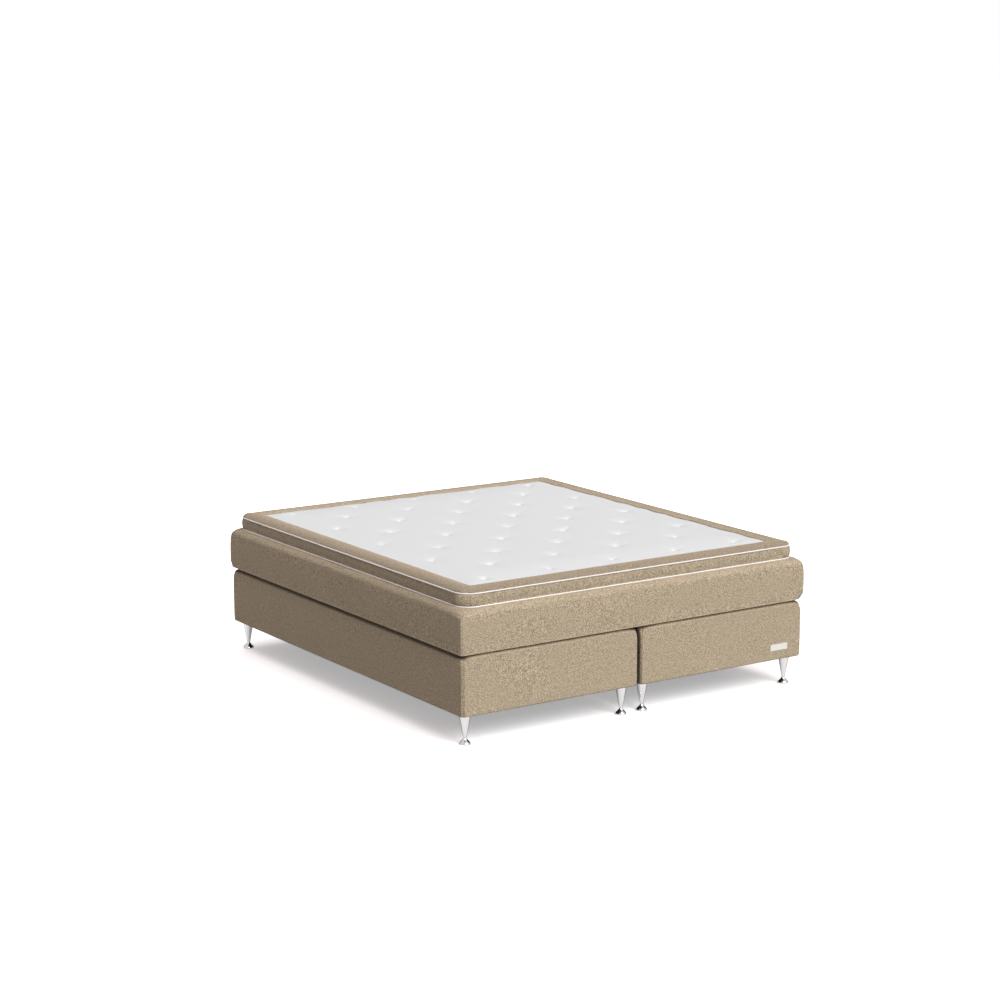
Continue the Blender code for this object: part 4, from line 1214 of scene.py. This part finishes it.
class BED_OT_topper_panel(bpy.types.Operator):
    """White top panel of the topper, padded and drawn down at its tufts"""

    bl_idname = "bed.topper_panel"
    bl_label = "Tufted panel"

    def execute(self, context):
        sizes = context.scene.bed_topper
        low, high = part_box("topper_top_panel")
        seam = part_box("topper_border")[0].z + sizes.side_height + sizes.seam_rise - sizes.edge_drop
        panel = add_grid("topper_tufted_panel", low, high, seam, round((high.x - low.x) / sizes.mesh_pitch),
                         round((high.y - low.y) / sizes.mesh_pitch))
        places = vertex_places(panel)
        edge = np.minimum(high.x - np.abs(places[:, 0]), high.y - np.abs(places[:, 1]))
        places[:, 2] += sizes.panel_crown * (1 - np.exp(-edge / sizes.tuft_margin))
        held = edge < SAME_PLACE
        for x, y in tuft_places():
            distance = np.hypot(places[:, 0] - x, places[:, 1] - y)
            places[:, 2] -= sizes.tuft_depth * np.exp(-(distance / sizes.tuft_reach) ** 2)
            held |= distance < sizes.mesh_pitch * 0.8
        put_vertices(panel, places)
        inflate(panel, np.flatnonzero(held), pressure=0.5, slack=0.0, frames=14, cap=0.003)
        apply_modifier(panel, "finer", "SUBSURF", levels=1, render_levels=1,
                       boundary_smooth="PRESERVE_CORNERS")
        places = vertex_places(panel)
        crease_tufts(places, sizes)
        wander(places)
        put_vertices(panel, places)
        start_editing(panel)
        bpy.ops.mesh.select_mode(type="EDGE")
        bpy.ops.mesh.select_all(action="DESELECT")
        bpy.ops.mesh.select_non_manifold()
        bpy.ops.mesh.extrude_edges_move(TRANSFORM_OT_translate={"value": (0, 0, low.z - seam)})
        bpy.ops.mesh.edge_face_add()
        bpy.ops.mesh.select_all(action="SELECT")
        bpy.ops.mesh.normals_make_consistent(inside=False)
        stop_editing()
        smooth(panel, 60)
        lay_cloth_map(panel)
        hand_over(panel, "topper", ticking_cloth(), ["topper_top_panel"])
        return {"FINISHED"}


def turn_piece(name, profile, steps, place=(0, 0)):
    """Turn a closed piece: a disc extruded and resized along a profile of (radius, height)."""
    bpy.ops.object.select_all(action="DESELECT")
    radius, height = profile[0]
    centre = Vector((*place, height))
    bpy.ops.mesh.primitive_circle_add(vertices=steps, radius=radius, fill_type="NGON", location=centre)
    piece = name_active(name)
    start_editing(piece)
    bpy.ops.mesh.select_all(action="SELECT")
    for new_radius, new_height in profile[1:]:
        bpy.ops.mesh.extrude_region_move(
            TRANSFORM_OT_translate={"value": (0, 0, new_height - height)})
        share = new_radius / radius
        bpy.ops.transform.resize(value=(share, share, 1), center_override=(*place, new_height))
        radius, height = new_radius, new_height
    bpy.ops.mesh.select_all(action="SELECT")
    bpy.ops.mesh.normals_make_consistent(inside=False)
    stop_editing()
    smooth(piece, 40)
    return piece


def copy_of(piece, name, shift):
    """A copy of a piece with a mesh of its own, moved to another place."""
    select_only(piece)
    bpy.ops.object.duplicate()
    bpy.context.active_object.location = shift
    return name_active(name)


def centre_of(node):
    """Where a node's middle stands on the floor."""
    low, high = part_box(node)
    return (low.x + high.x) / 2, (low.y + high.y) / 2


def rounded_step(radius, height, turn, outward, upward, steps=3):
    """A small turned rounding of an edge, from a point outwards and upwards."""
    points = []
    for i in range(steps + 1):
        angle = math.pi / 2 * i / steps
        points.append((radius + outward * turn * math.sin(angle),
                       height + upward * turn * (1 - math.cos(angle))))
    return points


def leg_outline(sizes, low, top):
    """A leg from its lower tip to the top of its collar, as (radius, height)."""
    collar_low = top - sizes.collar_height
    edge = sizes.edge_round
    points = [(sizes.stud_radius + THIN_GAP, low), (sizes.tip_radius - edge, low)]
    points += rounded_step(sizes.tip_radius - edge, low, edge, 1, 1)[1:]
    points.append((sizes.top_radius, collar_low))
    points += rounded_step(sizes.collar_radius - edge, collar_low, edge, 1, 1)
    points.append((sizes.collar_radius, top - edge))
    points.append((sizes.collar_radius - edge, top))
    return points


def leveller_outline(sizes, neck, top):
    """A levelling foot from the floor up its flare and its threaded stud, as (radius, height)."""
    edge = sizes.edge_round
    points = [(sizes.disc_radius - edge, 0.0)]
    points += rounded_step(sizes.disc_radius - edge, 0.0, edge, 1, 1)[1:]
    flare = 16
    for i in range(flare + 1):
        share = 1 - i / flare
        spread = (sizes.disc_radius - sizes.neck_radius) * (1 - math.cos(math.pi * share)) / 2
        points.append((sizes.neck_radius + spread, neck - (neck - sizes.rim_height) * share))
    points.append((sizes.stud_radius, neck))
    turns = round((top - neck) / sizes.thread_pitch)
    for i in range(1, 2 * turns):
        inset = sizes.thread_depth if i % 2 else 0.0
        points.append((sizes.stud_radius - inset, neck + (top - neck) * i / (2 * turns)))
    points.append((sizes.stud_radius - sizes.thread_depth, top))
    return points


class BED_OT_legs(bpy.types.Operator):
    """Turned legs with their threaded levelling feet and the nuts that hold them"""

    bl_idname = "bed.legs"
    bl_label = "Legs and levelling feet"

    def execute(self, context):
        sizes = context.scene.bed_legs
        colours = context.scene.bed_hardware
        satin = metal_finish("satin_chrome", colours.chrome, 0.12, 0.05, 0.00004, graze=0.05)
        polished = metal_finish("polished_chrome", colours.chrome, 0.04, 0.02, 0.00002, graze=0.05)
        zinc = metal_finish("zinc_plate", colours.zinc, 0.38, 0.12, 0.0001, (1, 1, 1))
        first = LEG_NAMES[0]
        x, y = centre_of(f"{first}_leg")
        leg_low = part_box(f"{first}_leg")[0]
        collar_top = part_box("left_base_cover")[0].z - THIN_GAP
        neck = leg_low.z - THIN_GAP
        stud_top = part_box(f"{first}_leveller")[1].z
        leg = turn_piece("leg_pattern", leg_outline(sizes, leg_low.z, collar_top), sizes.steps, (x, y))
        foot = turn_piece("foot_pattern", leveller_outline(sizes, neck, stud_top), sizes.steps, (x, y))
        for name in LEG_NAMES:
            to_x, to_y = centre_of(f"{name}_leg")
            shift = (to_x - x, to_y - y, 0)
            hand_over(copy_of(leg, f"{name}_turned_leg", shift), "bases", satin, [f"{name}_leg"])
            hand_over(copy_of(foot, f"{name}_levelling_foot", shift), f"{name}_leveller", polished,
                      [f"{name}_leveller"])
            finish_node(f"{name}_leg_nut", zinc)
        for pattern in (leg, foot):
            bpy.data.objects.remove(pattern)
        return {"FINISHED"}


class BED_OT_fittings(bpy.types.Operator):
    """Bare label plate, joining straps and their screws"""

    bl_idname = "bed.fittings"
    bl_label = "Label plate and straps"

    def execute(self, context):
        colours = context.scene.bed_hardware
        sizes = context.scene.bed_fittings
        low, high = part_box("label_plate")
        plate = add_box("bare_label_plate", low, high)
        start_editing(plate)
        bevel(plate, lambda co: True, sizes.plate_edge, 3)
        pick(plate, "FACE", lambda co: co.y < low.y + SAME_PLACE)
        bpy.ops.mesh.inset(thickness=sizes.plate_frame, depth=0)
        bpy.ops.mesh.inset(thickness=sizes.plate_step, depth=-sizes.plate_depth)
        stop_editing()
        smooth(plate, 40)
        silver = metal_finish("silver_plate", colours.plate, 0.34, 0.08, 0.00005, grain=(1, 1, 60))
        hand_over(plate, "bases", silver, ["label_plate"])
        zinc = bpy.data.materials["zinc_plate"]
        for name in ("front_joining_strap", "rear_joining_strap"):
            finish_node(name, zinc)
            low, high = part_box(name)
            heads = []
            for side in (-1, 1):
                for inset in (sizes.screw_inset, sizes.screw_inset + sizes.screw_pitch):
                    place = (side * (high.x - inset), (low.y + high.y) / 2)
                    heads.append(self.screw_head(f"{name}_screw", place, low.z, sizes))
            bpy.ops.object.select_all(action="DESELECT")
            for head in heads:
                head.select_set(True)
            bpy.context.view_layer.objects.active = heads[0]
            bpy.ops.object.join()
            heads[0].name = f"{name}_screws"
            hand_over(heads[0], "bases", zinc)
        return {"FINISHED"}

    def screw_head(self, name, place, top, sizes):
        """A domed head with a socket, hanging under a strap's underside."""
        radius, height = sizes.screw_radius, sizes.screw_height
        profile = [(radius * 11 / 24, top - height), (radius * 5 / 6, top - height * 8 / 11),
                   (radius, top - height * 3 / 11), (radius, top)]
        head = turn_piece(name, profile, 20, place)
        start_editing(head)
        pick(head, "FACE", lambda co: co.z < top - height + SAME_PLACE)
        bpy.ops.mesh.inset(thickness=sizes.socket_inset, depth=-sizes.socket_depth)
        stop_editing()
        return head


class BED_OT_frames(bpy.types.Operator):
    """Finish of the rails and slats inside the bases"""

    bl_idname = "bed.frames"
    bl_label = "Wooden frames"

    def execute(self, context):
        lengthways = pine_finish("pine_lengthways", "Y")
        crossways = pine_finish("pine_crossways", "X")
        for side in SIDES:
            for rail in ("left_rail", "right_rail"):
                finish_node(f"{side}_base_{rail}", lengthways)
            for rail in ("front_rail", "rear_rail", "slat_1", "slat_2", "slat_3"):
                finish_node(f"{side}_base_{rail}", crossways)
        return {"FINISHED"}


class BED_OT_dust_covers(bpy.types.Operator):
    """Dark non-woven cloths stapled under the bases"""

    bl_idname = "bed.dust_covers"
    bl_label = "Dust covers"

    def execute(self, context):
        sizes = context.scene.bed_fittings
        tone = context.scene.bed_cloth.dust_cloth
        dark = non_woven("grey_dust_cloth", tone, spread=0.35, fibre_scale=700)
        for side in SIDES:
            node = f"{side}_base_dust_cover"
            low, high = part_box(node)
            sheet = add_grid(f"{side}_base_dust_cloth", low, high, (low.z + high.z) / 2, 40, 90)
            ripple(sheet, sizes.dust_ripple_size, sizes.dust_ripple)
            give_wall(sheet, sizes.dust_wall)
            smooth(sheet)
            hand_over(sheet, "bases", dark, [node])
        return {"FINISHED"}


class BED_OT_springs(bpy.types.Operator):
    """Pocket springs of the bases and the mattress, row by row"""

    bl_idname = "bed.springs"
    bl_label = "Pocket springs"

    def execute(self, context):
        sizes = context.scene.bed_padding
        felt = non_woven("spring_pocket_felt", context.scene.bed_cloth.felt, spread=0.10, fibre_scale=500)
        for node, body, pitch in (
            ("left_base_spring_unit", "bases", sizes.base_spring_pitch),
            ("right_base_spring_unit", "bases", sizes.base_spring_pitch),
            ("mattress_pocket_springs", "mattress", sizes.mattress_spring_pitch),
        ):
            low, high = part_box(node)
            across = round((high.x - low.x) / pitch)
            along = round((high.y - low.y) / pitch)
            step_x, step_y = (high.x - low.x) / across, (high.y - low.y) / along
            radius = min(step_x, step_y) / 2 - THIN_GAP
            crown = radius * 0.35
            barrel = [(radius * 0.55, low.z), (radius * 0.9, low.z + crown * 0.5), (radius, low.z + crown),
                      (radius, high.z - crown), (radius * 0.9, high.z - crown * 0.5), (radius * 0.55, high.z)]
            unit = turn_piece(f"{node}_pockets", barrel, 12, (low.x + step_x / 2, low.y + step_y / 2))
            for count, offset in ((across, (step_x, 0, 0)), (along, (0, step_y, 0))):
                apply_modifier(unit, "row", "ARRAY", count=count, use_relative_offset=False,
                               use_constant_offset=True, constant_offset_displace=offset)
            smooth(unit, 60)
            hand_over(unit, body, felt, [node])
        return {"FINISHED"}


def padded_slab(name, low, high, corners, edge, edge_steps=4, corner_steps=6):
    """A foam or cloth slab with rounded corners and a rounded top edge."""
    slab = add_box(name, low, high)
    start_editing(slab)
    bevel_corners(slab, low, high, corners, corner_steps)
    bevel(slab, lambda co: co.z > high[2] - SAME_PLACE, edge, edge_steps)
    stop_editing()
    return slab


def hand_over_slab(slab, body, material, nodes):
    smooth(slab)
    lay_cloth_map(slab)
    hand_over(slab, body, material, nodes)


class BED_OT_padding(bpy.types.Operator):
    """Foam pads, mattress foam case, topper core and the bottom panels"""

    bl_idname = "bed.padding"
    bl_label = "Padding and bottom panels"

    def execute(self, context):
        sizes = context.scene.bed_padding
        foam = foam_finish()
        fall = context.scene.bed_base.top_fall
        for side in SIDES:
            low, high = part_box(f"{side}_base_top_pad")
            room = Vector((sizes.pad_room, sizes.pad_room, 0))
            pad = padded_slab(f"{side}_base_foam_pad", low + room, high - room - fall * UP,
                              sizes.pad_corner, sizes.pad_edge)
            hand_over_slab(pad, "bases", foam, [f"{side}_base_top_pad"])
        self.pad_mattress(sizes, foam)
        self.pad_topper(sizes, foam, context.scene.bed_topper)
        self.close_bottoms(sizes, context.scene.bed_mattress.seam_inset)
        return {"FINISHED"}

    def pad_mattress(self, sizes, foam):
        """Foam over and round the mattress's springs."""
        low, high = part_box("mattress_foam_case")
        springs_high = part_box("mattress_pocket_springs")[1]
        room = Vector((sizes.case_room, sizes.case_room, 0))
        case = padded_slab("mattress_foam_padding", low + room, high - room - sizes.case_drop * UP,
                           sizes.case_corner, sizes.case_edge)
        start_editing(case)
        pick(case, "FACE", lambda co: co.z < low.z + SAME_PLACE)
        bpy.ops.mesh.inset(thickness=high.x - room.x - springs_high.x - THIN_GAP, depth=0)
        ceiling = springs_high.z + THIN_GAP - low.z
        bpy.ops.mesh.extrude_region_move(TRANSFORM_OT_translate={"value": (0, 0, ceiling)})
        bpy.ops.mesh.select_all(action="SELECT")
        bpy.ops.mesh.normals_make_consistent(inside=False)
        stop_editing()
        hand_over_slab(case, "mattress", foam, ["mattress_foam_case"])

    def pad_topper(self, sizes, foam, topper):
        """Foam core of the topper."""
        half_x, half_y = topper_half_size()
        inside = topper.wall + sizes.core_room
        low = Vector((inside - half_x, inside - half_y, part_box("topper_core")[0].z))
        high = Vector((half_x - inside, half_y - inside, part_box("topper_top_panel")[0].z - THIN_GAP))
        core = padded_slab("topper_foam_core", low, high, topper.corner_radius - inside, sizes.core_edge)
        hand_over_slab(core, "topper", foam, ["topper_core"])

    def close_bottoms(self, sizes, seam_inset):
        """Bottom panels of the mattress and the topper."""
        low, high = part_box("mattress_bottom_panel")
        corners = np.array([(x, y, low.z) for x in (low.x, high.x) for y in (low.y, high.y)])
        radii = np.maximum(mattress_corners(corners) - seam_inset, sizes.bottom_corner)
        bottom = padded_slab("mattress_bottom_cloth", low, high, radii, sizes.bottom_edge, 2, 12)
        hand_over_slab(bottom, "mattress", bpy.data.materials["grey_dust_cloth"],
                       ["mattress_bottom_panel"])
        bottom = padded_slab("topper_bottom_cloth", *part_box("topper_bottom_panel"),
                             sizes.topper_bottom_corner, sizes.topper_bottom_edge, 2, 4)
        hand_over_slab(bottom, "topper", bpy.data.materials["white_ticking"],
                       ["topper_bottom_panel"])


class BED_OT_stage(bpy.types.Operator):
    """Camera at the photograph's place, pale floor, white surroundings and a large soft lamp"""

    bl_idname = "bed.stage"
    bl_label = "Stage"

    def execute(self, context):
        stage = context.scene.bed_stage
        camera_data = bpy.data.cameras.new("camera")
        camera_data.lens = stage.focal_length
        camera_data.sensor_width = 36
        camera_data.clip_end = 200
        camera = bpy.data.objects.new("camera", camera_data)
        camera.location = stage.camera_place
        camera.rotation_euler = (math.pi / 2 - stage.camera_pitch, 0, -stage.camera_yaw)
        context.collection.objects.link(camera)
        context.scene.camera = camera

        bpy.ops.object.select_all(action="DESELECT")
        bpy.ops.mesh.primitive_plane_add(size=120, location=(0, 0, 0))
        floor = name_active("floor")
        floor.data.materials.append(floor_finish(stage))

        lamp = bpy.data.lights.new("key_light", "SUN")
        lamp.angle = stage.key_angle
        lamp.energy = stage.key_strength
        key = bpy.data.objects.new("key_light", lamp)
        key.rotation_euler = Vector(stage.key_from).to_track_quat("Z", "Y").to_euler()
        context.collection.objects.link(key)
        light_world(stage)
        context.scene.view_settings.view_transform = "Standard"
        return {"FINISHED"}


def floor_finish(stage):
    """Pale matt floor; the camera sees it white but for the bed's shadow, which painted light fades out
    behind the bed.
    """
    finish = Finish("pale_floor", roughness=0.9)
    finish.set(finish.shader, {"Specular IOR Level": 0.1})
    tone = [stage.floor_tone] * 3
    mottle = finish.noise(finish.place(), scale=3, detail=4.0)
    # Painted light: the lift climbs to full white behind the bed, hiding the bed's shadow there
    behind = finish.between(finish.parts(finish.place())["Y"], stage.floor_lift, 1,
                            stage.painted_light_start, stage.painted_light_end)
    white = (*WHITE, 1)
    matt = finish.node("BsdfDiffuse", {"Color": white}).outputs[0]
    lift = finish.node("Emission", {"Color": white, "Strength": behind}).outputs[0]
    shown = finish.node("AddShader", {0: matt, 1: lift}).outputs[0]
    either = finish.node("MixShader", {0: finish.seen_directly(), 1: finish.shader.outputs[0], 2: shown})
    finish.set(finish.tree.nodes["Material Output"], {"Surface": either.outputs[0]})
    return finish.finish(finish.blend(mottle, dimmed(tone, 0.99), tone))


def light_world(stage):
    """White to look at, and a soft light on the bed that is strongest from above."""
    world = bpy.data.worlds.new("studio")
    bpy.context.scene.world = world
    world.use_nodes = True
    nodes = Nodes(world.node_tree)
    seen = nodes.seen_directly()
    upward = nodes.parts(nodes.node("TexCoord").outputs["Generated"])["Z"]
    level = nodes.between(seen, nodes.between(upward, stage.horizon, stage.zenith), 1)
    nodes.set(nodes.tree.nodes["Background"], {
        "Color": nodes.blend(seen, stage.world_tint, WHITE), "Strength": level})


OPERATORS = (
    BED_OT_base_covers, BED_OT_mattress_cover, BED_OT_topper_border, BED_OT_topper_pipings,
    BED_OT_topper_panel, BED_OT_legs, BED_OT_fittings, BED_OT_frames, BED_OT_dust_covers,
    BED_OT_springs, BED_OT_padding, BED_OT_stage,
)


class BED_PT_sidebar(bpy.types.Panel):
    """Buttons that make each piece of the bed"""

    bl_idname = "BED_PT_sidebar"
    bl_label = "Box spring bed"
    bl_space_type = "VIEW_3D"
    bl_region_type = "UI"
    bl_category = "Bed"

    def draw(self, context):
        for operator in OPERATORS:
            self.layout.operator(operator.bl_idname)
        for name in SETTINGS:
            box = self.layout.box()
            box.label(text=name.replace("_", " ").capitalize())
            settings = getattr(context.scene, name)
            for key in settings.bl_rna.properties.keys():
                if key not in ("rna_type", "name"):
                    box.prop(settings, key)


CLASSES = (*SETTINGS.values(), *OPERATORS, BED_PT_sidebar)


def register():
    """Add the settings, the operators and the panel."""
    for made in CLASSES:
        bpy.utils.register_class(made)
    for name, group in SETTINGS.items():
        setattr(bpy.types.Scene, name, PointerProperty(type=group))


def unregister():
    """Take them away again."""
    for name in SETTINGS:
        delattr(bpy.types.Scene, name)
    for made in reversed(CLASSES):
        bpy.utils.unregister_class(made)


def main():
    """Make every piece and the stage."""
    register()
    for operator in OPERATORS:
        space, call = operator.bl_idname.split(".")
        getattr(getattr(bpy.ops, space), call)()


if __name__ == "__main__":
    main()
